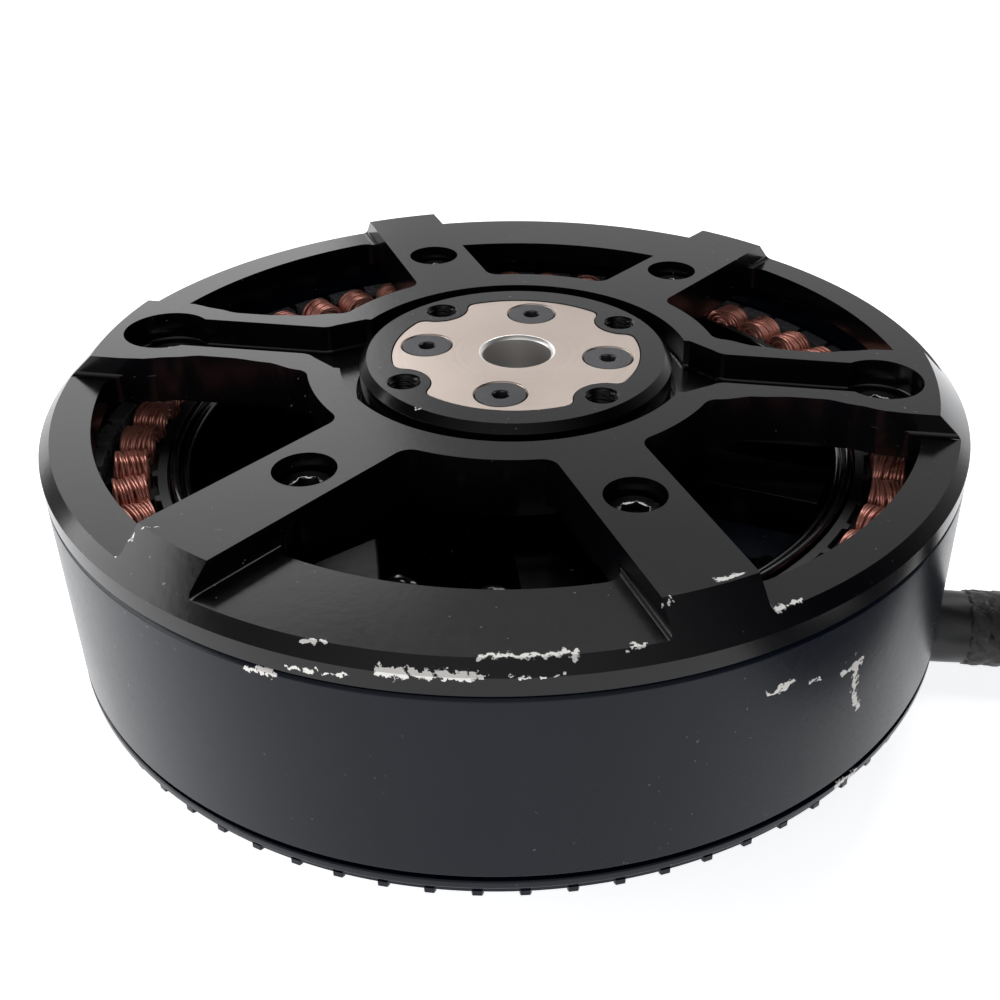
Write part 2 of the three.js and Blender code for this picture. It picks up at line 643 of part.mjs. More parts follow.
// Degrees round the coil, and height against where the end lies.
const TAIL_CLIMB = [[-80, -9], [-62, -3.6], [-46, -0.8], [-30, 0], [-10, 0], [14, 0]];
const TAIL_START = 38; // degrees round the coil, from where it lies flat
const TAIL_END = 78;

function cableTail() {
  const flat = [0, 0.25, 0.5, 0.75, 1].map((part) => [TAIL_START + (TAIL_END - TAIL_START) * part, 0]);
  const points = [...TAIL_CLIMB, ...flat].map(([turn, drop]) => coilPoint(TAIL_R, turn, TAIL_Z + drop));
  const turnsTop = LOOP_LIFT + CABLE_R * 2 + GAP;
  const turns = ring(INNER_TURN_R - CABLE_R - 1, OUTER_TURN_R + CABLE_R + 1, -1, turnsTop, 36);
  return tube(points, CABLE_R, 10, 16).subtract(turns.translate([...COIL_CENTRE, 0]));
}

function cableCoil() {
  const low = LOOP_LIFT;
  const high = LOOP_LIFT + CABLE_R * 2;
  const bevel = 5;
  const inner = INNER_TURN_R - CABLE_R;
  const outer = OUTER_TURN_R + CABLE_R;
  return turned([
    [inner + bevel, low], [outer - bevel, low], [outer, low + bevel], [outer, high - bevel],
    [outer - bevel, high], [inner + bevel, high], [inner, high - bevel], [inner, low + bevel],
  ], 36).translate([...COIL_CENTRE, 0]);
}

// Puts a piece made along +X, with its middle at the origin, on the coil at a turn angle.
function onCoil(solid, turn, z) {
  return solid.rotate([0, 0, -turn]).translate(coilPoint(TAIL_R, turn, z));
}

function box(length, width, height, x, y, z) {
  return toSolid(new THREE.BoxGeometry(length, width, height).translate(x, y, z));
}

// The outline of a band drawn tight round three cables: two side by side and one on top.
function bandOutline(reach) {
  const laneHalf = (OUTER_TURN_R - INNER_TURN_R) / 2;
  const laneZ = LOOP_LIFT + CABLE_R;
  const slope = (Math.atan2(TAIL_Z - laneZ, laneHalf) * 180) / Math.PI;
  const rightSide = 90 - slope;
  return [
    ...arc(reach, -90, rightSide, 6, laneHalf, laneZ),
    ...arc(reach, rightSide, 180 - rightSide, 6, 0, TAIL_Z),
    ...arc(reach, 180 - rightSide, 270, 6, -laneHalf, laneZ),
  ];
}

// A strap round both turns and the end that lies on them.
function coilTie() {
  const length = 7;
  const thick = 0.5;
  const inside = CABLE_R + 2 * GAP;
  const strap = prism(bandOutline(inside + thick), -length / 2, length / 2, [bandOutline(inside)])
    .rotate([90, 0, 90]);
  const side = (OUTER_TURN_R - INNER_TURN_R) / 2 + inside + thick;
  const buckle = box(length, 3, 6, 0, side + 1.2, LOOP_LIFT + CABLE_R);
  return onCoil(union([strap, buckle]), TAIL_START + 16, 0);
}

const CONNECTOR_TURN = TAIL_END + 19.4;
const CONNECTOR_HEIGHT = 16;
const CONNECTOR_Z = LOOP_LIFT + CABLE_R * 2 + GAP + CONNECTOR_HEIGHT / 2;
const CONTACT_LANES = [-6.6, 0, 6.6];

function connectorHousing() {
  const body = box(CONNECTOR_LENGTH, 22, CONNECTOR_HEIGHT, 0, 0, 0);
  const sockets = CONTACT_LANES.map((lane) => toSolid(new THREE.CylinderGeometry(2.9, 2.9, 18, SMALL)
    .rotateZ(Math.PI / 2).translate(CONNECTOR_LENGTH / 2 - 6, lane, 0)));
  return onCoil(cut(body, sockets), CONNECTOR_TURN, CONNECTOR_Z);
}

function connectorContact(lane) {
  const pin = toSolid(new THREE.CylinderGeometry(2.2, 2.2, 12, SMALL)
    .rotateZ(Math.PI / 2).translate(CONNECTOR_LENGTH / 2 - 8.4, lane, 0));
  return onCoil(pin, CONNECTOR_TURN, CONNECTOR_Z);
}

// ---------- assembly ----------
place('bell_cover', bellCover(), 'cover_black');
place('flux_ring', ring(FLUX_INNER_R, OUTER_R, FLUX_BOTTOM_Z, COVER_BOTTOM_Z - GAP, FINE), 'ring_black');
place('magnet_ring', magnetRing(), 'magnet');
place('rotor_hub', rotorHub(), 'cover_black');
place('flanged_shaft', flangedShaft(), 'bare_steel');

PLATE_SCREW_ANGLES.forEach((angle, i) => {
  place(`hub_screw_${i + 1}`, countersunkScrew(...polar(PLATE_SCREW_R, angle)), 'plate_screw');
});
SPOKE_ANGLES.forEach((angle, i) => {
  const screw = capScrew(SPOKE_SCREW).translate([...polar(SPOKE_SCREW_R, angle), 0]);
  place(`spoke_screw_${i + 1}`, screw, 'black_screw');
});
POCKET_ANGLES.forEach((angle, i) => {
  const screw = capScrew(POCKET_SCREW).translate([...polar(POCKET_SCREW_R, angle), 0]);
  place(`pocket_screw_${i + 1}`, screw, 'black_screw');
});

placeBearing('upper_bearing', UPPER_BEARING_Z);
placeBearing('lower_bearing', LOWER_BEARING_Z);
place('bearing_spacer', ring(
  BEARING_INNER_R, 11.6, LOWER_BEARING_Z + BEARING_HEIGHT + GAP, UPPER_BEARING_Z - GAP, COARSE,
), 'bearing_steel');
place('shaft_circlip', ring(SHAFT_R - 0.7, 12.4, 17.9, 18.9, COARSE), 'black_screw');
place('preload_washer', ring(14.3, BEARING_OUTER_R, 18.7, LOWER_BEARING_Z - GAP, COARSE), 'bearing_steel');

place('base_plate', basePlate(), 'ring_black');
place('stator_carrier', statorCarrier(), 'cover_black');
place('bearing_housing', bearingHousing(), 'cover_black');
place('stator_core', statorCore(), 'core_steel');
place('upper_insulator', insulatorRing(CORE_TOP_Z + GAP), 'insulator');
place('lower_insulator', insulatorRing(CORE_BOTTOM_Z - GAP - 1.2), 'insulator');
PHASES.forEach((phase, i) => place(`winding_${phase}`, phaseWinding(i), 'copper'));
baseScrewPlaces().forEach(([x, y], i) => {
  const screw = capScrew(BASE_SCREW).rotate([180, 0, 0]).translate([x, y, 0]);
  place(`base_screw_${i + 1}`, screw, 'black_screw');
});

PHASES.forEach((phase, i) => {
  place(`phase_splice_${phase}`, splice(SPLICE_ANGLES[i]), 'insulator');
  place(`phase_lead_${phase}`, phaseLead(i), 'insulator');
});
place('cable_boot', cableBoot(), 'shrink');
place('cable', cableRun(), 'sleeve');
place('cable_coil', cableCoil(), 'sleeve');
place('cable_tail', cableTail(), 'sleeve');
place('coil_tie', coilTie(), 'plug');
place('connector_housing', connectorHousing(), 'plug');
CONTACT_LANES.forEach((lane, i) => place(`connector_contact_${i + 1}`, connectorContact(lane), 'brass'));

export default motor;
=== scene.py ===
"""Brushless outrunner motor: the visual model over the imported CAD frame.

Sizes are in millimetres unless said.
"""
import math
import random
from contextlib import contextmanager

import bmesh
import bpy
from mathutils import Matrix, Vector


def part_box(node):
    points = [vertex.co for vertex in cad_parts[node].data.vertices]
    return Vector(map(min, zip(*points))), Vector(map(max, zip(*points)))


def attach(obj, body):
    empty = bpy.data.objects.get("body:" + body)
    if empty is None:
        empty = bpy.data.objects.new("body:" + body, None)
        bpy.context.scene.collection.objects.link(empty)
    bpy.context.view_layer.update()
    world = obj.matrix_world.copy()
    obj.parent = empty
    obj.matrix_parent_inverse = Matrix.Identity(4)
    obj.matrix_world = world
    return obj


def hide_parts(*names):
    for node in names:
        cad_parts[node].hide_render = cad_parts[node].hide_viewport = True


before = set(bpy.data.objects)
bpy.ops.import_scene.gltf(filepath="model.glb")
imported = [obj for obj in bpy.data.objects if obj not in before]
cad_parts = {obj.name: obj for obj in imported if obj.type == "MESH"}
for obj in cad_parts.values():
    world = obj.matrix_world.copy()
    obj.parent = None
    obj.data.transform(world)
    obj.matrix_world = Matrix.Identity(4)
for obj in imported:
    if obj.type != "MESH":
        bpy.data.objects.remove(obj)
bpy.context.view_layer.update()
MM = 0.001
scene = bpy.context.scene
random.seed(11)


# ---------- places read from the frame, in millimetres ----------
def low(node, axis=2):
    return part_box(node)[0][axis] / MM


def high(node, axis=2):
    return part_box(node)[1][axis] / MM


OUTER_R = high("flux_ring", 0)
ARM_TOP = high("bell_cover")
SKIRT_BOTTOM = low("bell_cover")
HUB_TOP = high("rotor_hub")
PLATE_TOP = high("flanged_shaft")
SHAFT_BOTTOM = low("flanged_shaft")
CARRIER_TOP = high("stator_carrier")
CARRIER_BOTTOM = low("stator_carrier")
HOUSING_TOP = high("bearing_housing")
COIL_TOP = high("winding_a")
COIL_BOTTOM = 22.5
BAND_TOP = high("base_plate")
FLUX_BOTTOM = low("flux_ring")
FLUX_TOP = high("flux_ring")

RIM_TOP = ARM_TOP - 3.75
POCKET_FLOOR = ARM_TOP - 5.05
WEB_BOTTOM = ARM_TOP - 8.05
HUB_RING_R = 34.3
RECESS_R = 29.1
SPOKE_HALF = 6.9
SIDE_WINDOW_R = 67.4
END_WINDOW_R = 60.0
SPOKE_SCREW_R = 46.8
POCKET_SCREW_R = 60.4
SPOKES = (60, 120, 240, 300)
POCKETS = (0, 180)
SPOKE_SEAT = ARM_TOP - 5.6
POCKET_SEAT = POCKET_FLOOR - 1.4
LOBE_R = 20.6
NOTCH_R = 5.4
PROP_HOLES = ((15.8, 13.7), (-15.8, 13.7), (-15.8, -13.7), (15.8, -13.7))
PLATE_SCREW_R = 15.3
PLATE_SCREWS = (0, 90, 180, 270)
SLOTS = 48
SLOT_PITCH = 360 / SLOTS
RIBS = 72
MAGNETS = 56
BASE_SCREWS = range(30, 390, 60)
BASE_SCREW_R = 21
ABOVE = 70  # a height clear of everything, for tools that cut down from the top
BELOW = 40  # a height clear below the cover
SCREW_HOLE_R = 2.75
SMALL_HOLE_R = 2.2

CABLE_R = 7.0
CABLE_ANGLE = 2.5
COIL_CENTRE = (168.5, -54.8)
OUTER_TURN_R = 77.0
INNER_TURN_R = 62.0
LIFT = 1.2
OUTLET_Z = CABLE_R + 0.6  # the height at which the lead leaves the base


# ---------- small geometry helpers ----------
def polar(radius, degrees, centre=(0, 0)):
    a = math.radians(degrees)
    return (centre[0] + radius * math.cos(a), centre[1] + radius * math.sin(a))


def arc(radius, start, end, steps, centre=(0, 0)):
    return [polar(radius, start + (end - start) * i / steps, centre) for i in range(steps + 1)]


def turned_by(points, degrees):
    c, s = math.cos(math.radians(degrees)), math.sin(math.radians(degrees))
    return [(x * c - y * s, x * s + y * c) for x, y in points]


def circles_meet(c1, r1, c2, r2, side):
    """The crossing of two circles that lies to the given side of the line between their centres."""
    dx, dy = c2[0] - c1[0], c2[1] - c1[1]
    d = math.hypot(dx, dy)
    a = (r1 * r1 - r2 * r2 + d * d) / (2 * d)
    h = math.sqrt(max(r1 * r1 - a * a, 0)) * side
    return (c1[0] + (a * dx - h * dy) / d, c1[1] + (a * dy + h * dx) / d)


def direction(start, end):
    return math.degrees(math.atan2(end[1] - start[1], end[0] - start[0]))


# ---------- meshes ----------
def to_object(name, bm):
    bmesh.ops.remove_doubles(bm, verts=bm.verts, dist=1e-7)
    bmesh.ops.recalc_face_normals(bm, faces=bm.faces)
    mesh = bpy.data.meshes.new(name)
    bm.to_mesh(mesh)
    bm.free()
    ob = bpy.data.objects.new(name, mesh)
    scene.collection.objects.link(ob)
    return ob


def add_faces(bm, points, faces):
    verts = [bm.verts.new((x * MM, y * MM, z * MM)) for x, y, z in points]
    for face in faces:
        corners = [verts[i] for i in face]
        if len(set(corners)) > 2:
            bm.faces.new(corners)
    return verts


def lathe(name, profile, segments):
    """Turns a closed loop of (radius, z) points about the spin axis."""
    n = len(profile)
    points = []
    for i in range(segments):
        a = 2 * math.pi * i / segments
        points += [(r * math.cos(a), r * math.sin(a), z) for r, z in profile]
    faces = []
    for i in range(segments):
        for k in range(n):
            if profile[k][0] == 0 and profile[(k + 1) % n][0] == 0:
                continue
            a, b = i * n, (i + 1) % segments * n
            faces.append((a + k, b + k, b + (k + 1) % n, a + (k + 1) % n))
    bm = bmesh.new()
    add_faces(bm, points, faces)
    return to_object(name, bm)


def rod(radius, bottom, top, segments=32):
    """A round bar on the spin axis."""
    return lathe("rod", [(0, bottom), (radius, bottom), (radius, top), (0, top)], segments)


def add_prism(bm, outline, bottom, top):
    n = len(outline)
    points = [(x, y, bottom) for x, y in outline] + [(x, y, top) for x, y in outline]
    faces = [tuple(reversed(range(n))), tuple(range(n, 2 * n))]
    faces += [(i, (i + 1) % n, n + (i + 1) % n, n + i) for i in range(n)]
    add_faces(bm, points, faces)


def prism(name, outline, bottom, top):
    bm = bmesh.new()
    add_prism(bm, outline, bottom, top)
    return to_object(name, bm)


@contextmanager
def editing(ob):
    bm = bmesh.new()
    bm.from_mesh(ob.data)
    yield bm
    bm.to_mesh(ob.data)
    bm.free()


def rounded_floor(ob, floor, radius):
    """Rounds the edges of a cutter's floor, so that what it cuts has a filleted foot."""
    with editing(ob) as bm:
        edges = [e for e in bm.edges if all(abs(v.co.z - floor * MM) < 1e-6 for v in e.verts)]
        bmesh.ops.bevel(
            bm, geom=edges, offset=radius * MM, segments=4, profile=0.5, affect="EDGES", clamp_overlap=True
        )
    return ob


def settle(ob):
    """Makes an object's modifiers part of its mesh."""
    graph = bpy.context.evaluated_depsgraph_get()
    mesh = bpy.data.meshes.new_from_object(ob.evaluated_get(graph))
    ob.modifiers.clear()
    ob.data = mesh


def carve(ob, tools, operation="DIFFERENCE"):
    for tool in tools:
        cut = ob.modifiers.new("cut", "BOOLEAN")
        cut.object = tool
        cut.operation = operation
        cut.solver = "EXACT"
    settle(ob)
    for tool in tools:
        bpy.data.objects.remove(tool)
    return ob


def tidy(ob, angle=0.2):
    """Clears up after cuts: joins points that meet and faces that lie in one plane."""
    with editing(ob) as bm:
        bmesh.ops.remove_doubles(bm, verts=bm.verts, dist=2e-6)
        limit = math.radians(angle)
        bmesh.ops.dissolve_limit(bm, angle_limit=limit, verts=bm.verts, edges=bm.edges, delimit={"NORMAL"})
        bmesh.ops.recalc_face_normals(bm, faces=bm.faces)
    return ob


def soften(ob, width, steps=2, angle=28, worn=False):
    """Rounds the hard edges. With worn, the outer edges take the second material."""
    bevel = ob.modifiers.new("edges", "BEVEL")
    bevel.width = width * MM
    bevel.segments = steps
    bevel.limit_method = "ANGLE"
    bevel.angle_limit = math.radians(angle)
    bevel.miter_outer = "MITER_ARC"
    bevel.use_clamp_overlap = True
    bevel.material = 1 if worn else -1
    settle(ob)
    if worn:
        keep_outer_edges(ob)
    smooth(ob)
    return ob


def is_inside_corner(face):
    """Whether the faces round this one rise above it rather than fall away."""
    lift = 0.0
    for edge in face.edges:
        middle = (edge.verts[0].co + edge.verts[1].co) / 2
        for other in edge.link_faces:
            if other is not face and other.normal.angle(face.normal, 0) > 0.05:
                lift += (other.calc_center_median() - middle).normalized().dot(face.normal)
    return lift > 0.02


def keep_outer_edges(ob):
    """Gives rounded edges in inside corners back to the first material."""
    with editing(ob) as bm:
        for face in [f for f in bm.faces if f.material_index == 1 and is_inside_corner(f)]:
            face.material_index = 0


def smooth(ob):
    ob.data.shade_smooth()
    weighted = ob.modifiers.new("normals", "WEIGHTED_NORMAL")
    weighted.weight = 80
    weighted.keep_sharp = True
    return ob


def piece(ob, body, looks, nodes):
    """Finishes a piece: its looks, its body and the CAD nodes that it stands for."""
    chosen = [face.material_index for face in ob.data.polygons]
    ob.data.materials.clear()
    for look in looks:
        ob.data.materials.append(look)
    for face, look in zip(ob.data.polygons, chosen):
        face.material_index = look
    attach(ob, body)
    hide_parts(*nodes)
    return ob


def sweep(bm, path, radius, sides, closed=False):
    """A tube through 3-D points. The radius is a number, or a function of point number and angle."""
    n = len(path)
    points = [Vector(p) for p in path]
    tangents = []
    for i in range(n):
        before = points[(i - 1) % n] if closed or i else points[i]
        after = points[(i + 1) % n] if closed or i < n - 1 else points[i]
        tangents.append((after - before).normalized())
    up = Vector((0, 0, 1)) if abs(tangents[0].z) < 0.9 else Vector((1, 0, 0))
    side = tangents[0].cross(up).normalized()
    rings = []
    for i in range(n):
        if i:
            turn = tangents[i - 1].rotation_difference(tangents[i])
            side = turn @ side
        side = (side - tangents[i] * side.dot(tangents[i])).normalized()
        other = tangents[i].cross(side)
        ring = []
        for k in range(sides):
            a = 2 * math.pi * k / sides
            r = radius(i, a) if callable(radius) else radius
            ring.append(bm.verts.new((points[i] + (side * math.cos(a) + other * math.sin(a)) * r) * MM))
        rings.append(ring)
    last = n if closed else n - 1
    for i in range(last):
        a, b = rings[i], rings[(i + 1) % n]
        for k in range(sides):
            bm.faces.new((a[k], a[(k + 1) % sides], b[(k + 1) % sides], b[k]))
    if not closed:
        bm.faces.new(list(reversed(rings[0])))
        bm.faces.new(rings[-1])


def join(objects):
    """Makes one object of several that don't touch."""
    bm = bmesh.new()
    for ob in objects:
        bm.from_mesh(ob.data)
    for ob in objects:
        bpy.data.objects.remove(ob)
    mesh = bpy.data.meshes.new("joined")
    bm.to_mesh(mesh)
    bm.free()
    ob = bpy.data.objects.new("joined", mesh)
    scene.collection.objects.link(ob)
    return ob


def moved(ob, x=0.0, y=0.0, z=0.0):
    ob.data.transform(Matrix.Translation((x * MM, y * MM, z * MM)))
    return ob


def turned(ob, degrees, axis):
    ob.data.transform(Matrix.Rotation(math.radians(degrees), 4, axis))
    return ob


def spun(ob, degrees, x=0.0, y=0.0):
    """Moves a piece out from the spin axis, then turns it about that axis."""
    return turned(moved(ob, x, y), degrees, "Z")


def curve_points(knots, steps):
    """A smooth curve through the knots: steps points between each pair."""
    points = [Vector(k) for k in knots]
    result = []
    for i in range(len(points) - 1):
        p0 = points[i - 1] if i else points[0] * 2 - points[1]
        p1, p2 = points[i], points[i + 1]
        p3 = points[i + 2] if i + 2 < len(points) else p2 * 2 - p1
        for s in range(steps):
            t = s / steps
            result.append(
                0.5 * ((2 * p1) + (p2 - p0) * t + (2 * p0 - 5 * p1 + 4 * p2 - p3) * t * t
                       + (3 * p1 - p0 - 3 * p2 + p3) * t ** 3)
            )
    result.append(points[-1])
    return result


# ---------- camera ----------
CAMERA_PLACE = (32.6, -184.9, 152.5)
CAMERA_TARGET = (19.6, -22.6, 56.0)
CAMERA_ROLL = 1.86  # degrees about the line of sight
SENSOR = 36
FOCAL = 1.2435  # focal length in widths of the picture


def add_camera():
    """The viewer looks down on the motor from the front and a little to its right."""
    data = bpy.data.cameras.new("camera")
    data.sensor_width = SENSOR
    data.lens = FOCAL * SENSOR
    data.shift_x = -0.12
    data.shift_y = -0.05
    data.clip_start = 0.01
    camera = bpy.data.objects.new("camera", data)
    scene.collection.objects.link(camera)
    camera.location = Vector(CAMERA_PLACE) * MM
    level = (Vector(CAMERA_TARGET) - Vector(CAMERA_PLACE)).to_track_quat("-Z", "Y").to_matrix()
    camera.rotation_euler = (level @ Matrix.Rotation(math.radians(CAMERA_ROLL), 3, "Z")).to_euler()
    scene.camera = camera


add_camera()


# ---------- materials ----------
RAGGED = 2.4  # how far a noise moves the outline of a worn place
ALMOST_NOTHING = 1e-9
SHEET = 0.35  # the thickness of one sheet of the core


class Nodes:
    """A short way to write a material's nodes."""

    def __init__(self, name):
        self.material = bpy.data.materials.new(name)
        self.material.use_nodes = True
        self.tree = self.material.node_tree
        self.shader = self.tree.nodes["Principled BSDF"]
        coords = self.tree.nodes.new("ShaderNodeTexCoord")
        self.place = coords.outputs["Object"]

    def node(self, kind, **settings):
        made = self.tree.nodes.new(kind)
        for key, value in settings.items():
            setattr(made, key, value)
        return made

    def link(self, output, socket):
        self.tree.links.new(output, socket)

    def stretched(self, sx, sy, sz, source=None):
        mapping = self.node("ShaderNodeMapping")
        mapping.inputs["Scale"].default_value = (sx, sy, sz)
        self.link(source or self.place, mapping.inputs["Vector"])
        return mapping.outputs["Vector"]

    def noise(self, scale, detail=4, roughness=0.55, vector=None, distortion=0.0):
        noise = self.node("ShaderNodeTexNoise")
        noise.inputs["Scale"].default_value = scale
        noise.inputs["Detail"].default_value = detail
        noise.inputs["Roughness"].default_value = roughness
        noise.inputs["Distortion"].default_value = distortion
        self.link(vector or self.place, noise.inputs["Vector"])
        return noise.outputs["Fac"]

    def ramp(self, value, *stops):
        ramp = self.node("ShaderNodeValToRGB")
        elements = ramp.color_ramp.elements
        while len(elements) < len(stops):
            elements.new(0.5)
        for element, (at, colour) in zip(elements, stops):
            element.position = at
            colour = (colour,) * 3 if isinstance(colour, (int, float)) else colour
            element.color = (*colour, 1)
        self.link(value, ramp.inputs["Fac"])
        return ramp.outputs["Color"]

    def maths(self, operation, a, b=None, clamp=False):
        node = self.node("ShaderNodeMath", operation=operation, use_clamp=clamp)
        for socket, value in zip(node.inputs, (a, b)):
            if isinstance(value, (int, float)):
                socket.default_value = value
            elif value is not None:
                self.link(value, socket)
        return node.outputs[0]

    def mix(self, factor, a, b):
        node = self.node("ShaderNodeMix", data_type="RGBA")
        for socket, value in ((node.inputs["Factor"], factor), (node.inputs["A"], a), (node.inputs["B"], b)):
            if isinstance(value, (int, float)):
                socket.default_value = value if socket.type == "VALUE" else (value,) * 3 + (1,)
            elif isinstance(value, tuple):
                socket.default_value = (*value, 1)
            else:
                self.link(value, socket)
        return node.outputs["Result"]

    def vector(self, operation, a, b=None, scale=None):
        node = self.node("ShaderNodeVectorMath", operation=operation)
        for socket, value in zip(node.inputs, (a, b)):
            if isinstance(value, Vector):
                socket.default_value = value
            elif value is not None:
                self.link(value, socket)
        if scale is not None:
            self.link(scale, node.inputs["Scale"])
        return node.outputs["Value" if operation in ("DISTANCE", "DOT_PRODUCT") else "Vector"]

    def moved(self, place, shift, amount):
        """A place moved by an amount times a shift."""
        result = self.vector("MULTIPLY_ADD", shift, Vector((amount, amount, amount)))
        self.link(place, result.node.inputs[2])
        return result

    def close_to(self, strokes):
        """1 along the middle of each stroke, 0 beyond its reach. A stroke is its two ends and its reach."""
        ragged = self.node("ShaderNodeTexNoise")
        ragged.inputs["Scale"].default_value = 800
        ragged.inputs["Detail"].default_value = 3
        self.link(self.place, ragged.inputs["Vector"])
        shift = self.vector("SUBTRACT", ragged.outputs["Color"], Vector((0.5, 0.5, 0.5)))
        place = warped = self.moved(self.place, shift, RAGGED * MM)
        total = 0.0
        for start, end, reach in strokes:
            a, b = (Vector((*polar(r, degrees), z)) * MM for r, degrees, z in (start, end))
            along = b - a
            if total:
                # Each stroke waits for the one before, which keeps the shader small in memory.
                place = self.moved(warped, total, ALMOST_NOTHING)
            from_a = self.vector("SUBTRACT", place, a)
            share = self.vector("DOT_PRODUCT", from_a, along / along.length_squared)
            foot = self.vector("SCALE", along, scale=self.maths("ADD", share, 0.0, clamp=True))
            gap = self.maths("MULTIPLY", self.vector("DISTANCE", from_a, foot), 1 / (reach * MM))
            total = self.maths("MAXIMUM", total, self.maths("SUBTRACT", 1.0, gap, clamp=True))
        return total

    def bump(self, height, strength, distance, normal=None):
        bump = self.node("ShaderNodeBump")
        bump.inputs["Strength"].default_value = strength
        bump.inputs["Distance"].default_value = distance
        self.link(height, bump.inputs["Height"])
        if normal is not None:
            self.link(normal, bump.inputs["Normal"])
        return bump.outputs["Normal"]

    def set(self, **sockets):
        names = {
            "color": "Base Color", "metallic": "Metallic", "roughness": "Roughness", "normal": "Normal",
            "coat": "Coat Weight", "coat_roughness": "Coat Roughness", "ior": "IOR",
            "specular": "Specular IOR Level", "anisotropic": "Anisotropic", "sheen": "Sheen Weight",
        }
        for key, value in sockets.items():
            socket = self.shader.inputs[names[key]]
            if isinstance(value, tuple):
                socket.default_value = (*value, 1)
            elif isinstance(value, (int, float)):
                socket.default_value = value
            else:
                self.link(value, socket)
        return self.material


DUST = (0.3, 0.29, 0.28)
BARE = (0.55, 0.54, 0.53)  # bare metal on a rubbed edge
CHIPPED = (0.72, 0.7, 0.67)  # metal where the coat is knocked off


def coated(name, dark, light, gloss=(0.16, 0.3), wear=0.0, bump=0.05, ior=1.38, reflection_streaks=False, marks=()):
    """A black coat on metal: cloudy gloss, fine grain, specks of dust, and bare metal where it is worn.
    Vertical streaks in the colour, when asked for, are painted reflection.
    """
    n = Nodes(name)
    clouds = n.noise(18, 5)
    fine = n.noise(900.0, 3)
    # Vertical streaks stretched along the height stand for reflections of the room: painted reflection bands
    # in the colour.
    shade = n.noise(30, 3, 0.5, n.stretched(1, 1, 0.03)) if reflection_streaks else clouds
    colour = n.mix(n.ramp(shade, (0.38, 0.0), (0.66, 1.0)), dark, light)
    blend = n.maths("ADD", n.maths("MULTIPLY", clouds, 0.7), n.maths("MULTIPLY", fine, 0.3))
    rough = n.ramp(blend, (0.3, gloss[0]), (0.72, gloss[1]))
    rubbed = n.ramp(n.noise(7, 6, 0.75, n.stretched(1, 3, 1), 1.5), (0.62, 0.0), (0.75, 1.0))
    rough = n.mix(n.maths("MULTIPLY", rubbed, 0.35), rough, 0.5)
    dust = n.ramp(n.noise(1300, 1, 0.4), (0.765, 0.0), (0.79, 1.0))
    near = n.ramp(n.noise(55, 2), (0.5, 0.0), (0.6, 1.0))
    colour = n.mix(n.maths("MULTIPLY", n.maths("MULTIPLY", dust, near), 0.5), colour, DUST)
    metal = 0.0
    if wear:
        chips = n.noise(330, 5, 0.7)
        patches = n.noise(45, 4, 0.6)
        both = n.maths("ADD", n.maths("MULTIPLY", chips, 0.5), n.maths("MULTIPLY", patches, 0.5))
        edge = 0.64 - 0.2 * wear
        worn = n.ramp(both, (edge, 0.0), (edge + 0.02, 1.0))
        colour = n.mix(worn, colour, BARE)
        rough = n.mix(worn, rough, 0.34)
        metal = n.maths("MULTIPLY", worn, 0.85)
    normal = n.bump(fine, bump, 0.0003)
    if marks:
        ragged = n.maths("MULTIPLY", n.noise(1500, 4, 0.75), 0.9)
        ragged = n.maths("ADD", ragged, n.maths("MULTIPLY", n.close_to(marks), 0.5))
        chip = n.ramp(ragged, (0.67, 0.0), (0.71, 1.0))
        colour = n.mix(chip, colour, CHIPPED)
        rough = n.mix(chip, rough, 0.38)
        metal = n.mix(chip, metal, 0.35)
        normal = n.bump(n.maths("SUBTRACT", 1.0, chip), 0.3, 0.0002, normal)
    return n.set(color=colour, roughness=rough, metallic=metal, normal=normal, ior=ior)


def turned_metal(name, colour, tint, gloss=(0.22, 0.4), lines=1400.0, metallic=1.0):
    """Bare metal with fine round tool marks about the spin axis."""
    n = Nodes(name)
    separate = n.node("ShaderNodeSeparateXYZ")
    n.link(n.place, separate.inputs[0])
    squares = [n.maths("POWER", separate.outputs[axis], 2.0) for axis in (0, 1)]
    radius = n.maths("SQRT", n.maths("ADD", *squares))
    marks = n.node("ShaderNodeTexNoise", noise_dimensions="1D")
    marks.inputs["Scale"].default_value = lines
    marks.inputs["Detail"].default_value = 3
    n.link(radius, marks.inputs["W"])
    clouds = n.noise(45, 5)
    mixed = n.mix(n.ramp(clouds, (0.35, 0.0), (0.7, 1.0)), colour, tint)
    blend = n.maths("ADD", n.maths("MULTIPLY", clouds, 0.5), n.maths("MULTIPLY", marks.outputs["Fac"], 0.5))
    rough = n.ramp(blend, (0.35, gloss[0]), (0.65, gloss[1]))
    normal = n.bump(marks.outputs["Fac"], 0.06, 0.0002)
    return n.set(color=mixed, metallic=metallic, roughness=rough, normal=normal)


def moulded(name, dark, light, gloss=(0.35, 0.5), grain=1600.0, bump=0.12, coat=0.0, scale=30):
    """Plastic, rubber or heat-shrunk sleeve: fine grain and soft clouds."""
    n = Nodes(name)
    clouds = n.noise(scale, 4)
    fine = n.noise(grain, 3)
    colour = n.mix(n.ramp(clouds, (0.35, 0.0), (0.7, 1.0)), dark, light)
    rough = n.ramp(clouds, (0.3, gloss[0]), (0.7, gloss[1]))
    normal = n.bump(fine, bump, 0.0003)
    return n.set(color=colour, roughness=rough, normal=normal, coat=coat, coat_roughness=0.12)


def wire_look(name, bright, deep):
    """Enamelled copper wire, cloudy and in places browned."""
    n = Nodes(name)
    clouds = n.noise(220, 4)
    broad = n.noise(40, 3)
    colour = n.mix(n.ramp(clouds, (0.3, 0.0), (0.7, 1.0)), deep, bright)
    colour = n.mix(n.ramp(broad, (0.55, 0.0), (0.75, 0.6)), colour, (0.05, 0.015, 0.01))
    rough = n.ramp(clouds, (0.3, 0.22), (0.7, 0.38))
    normal = n.bump(n.noise(900, 2), 0.1, 0.0002)
    return n.set(color=colour, metallic=0.55, roughness=rough, normal=normal, coat=0.5, coat_roughness=0.15)


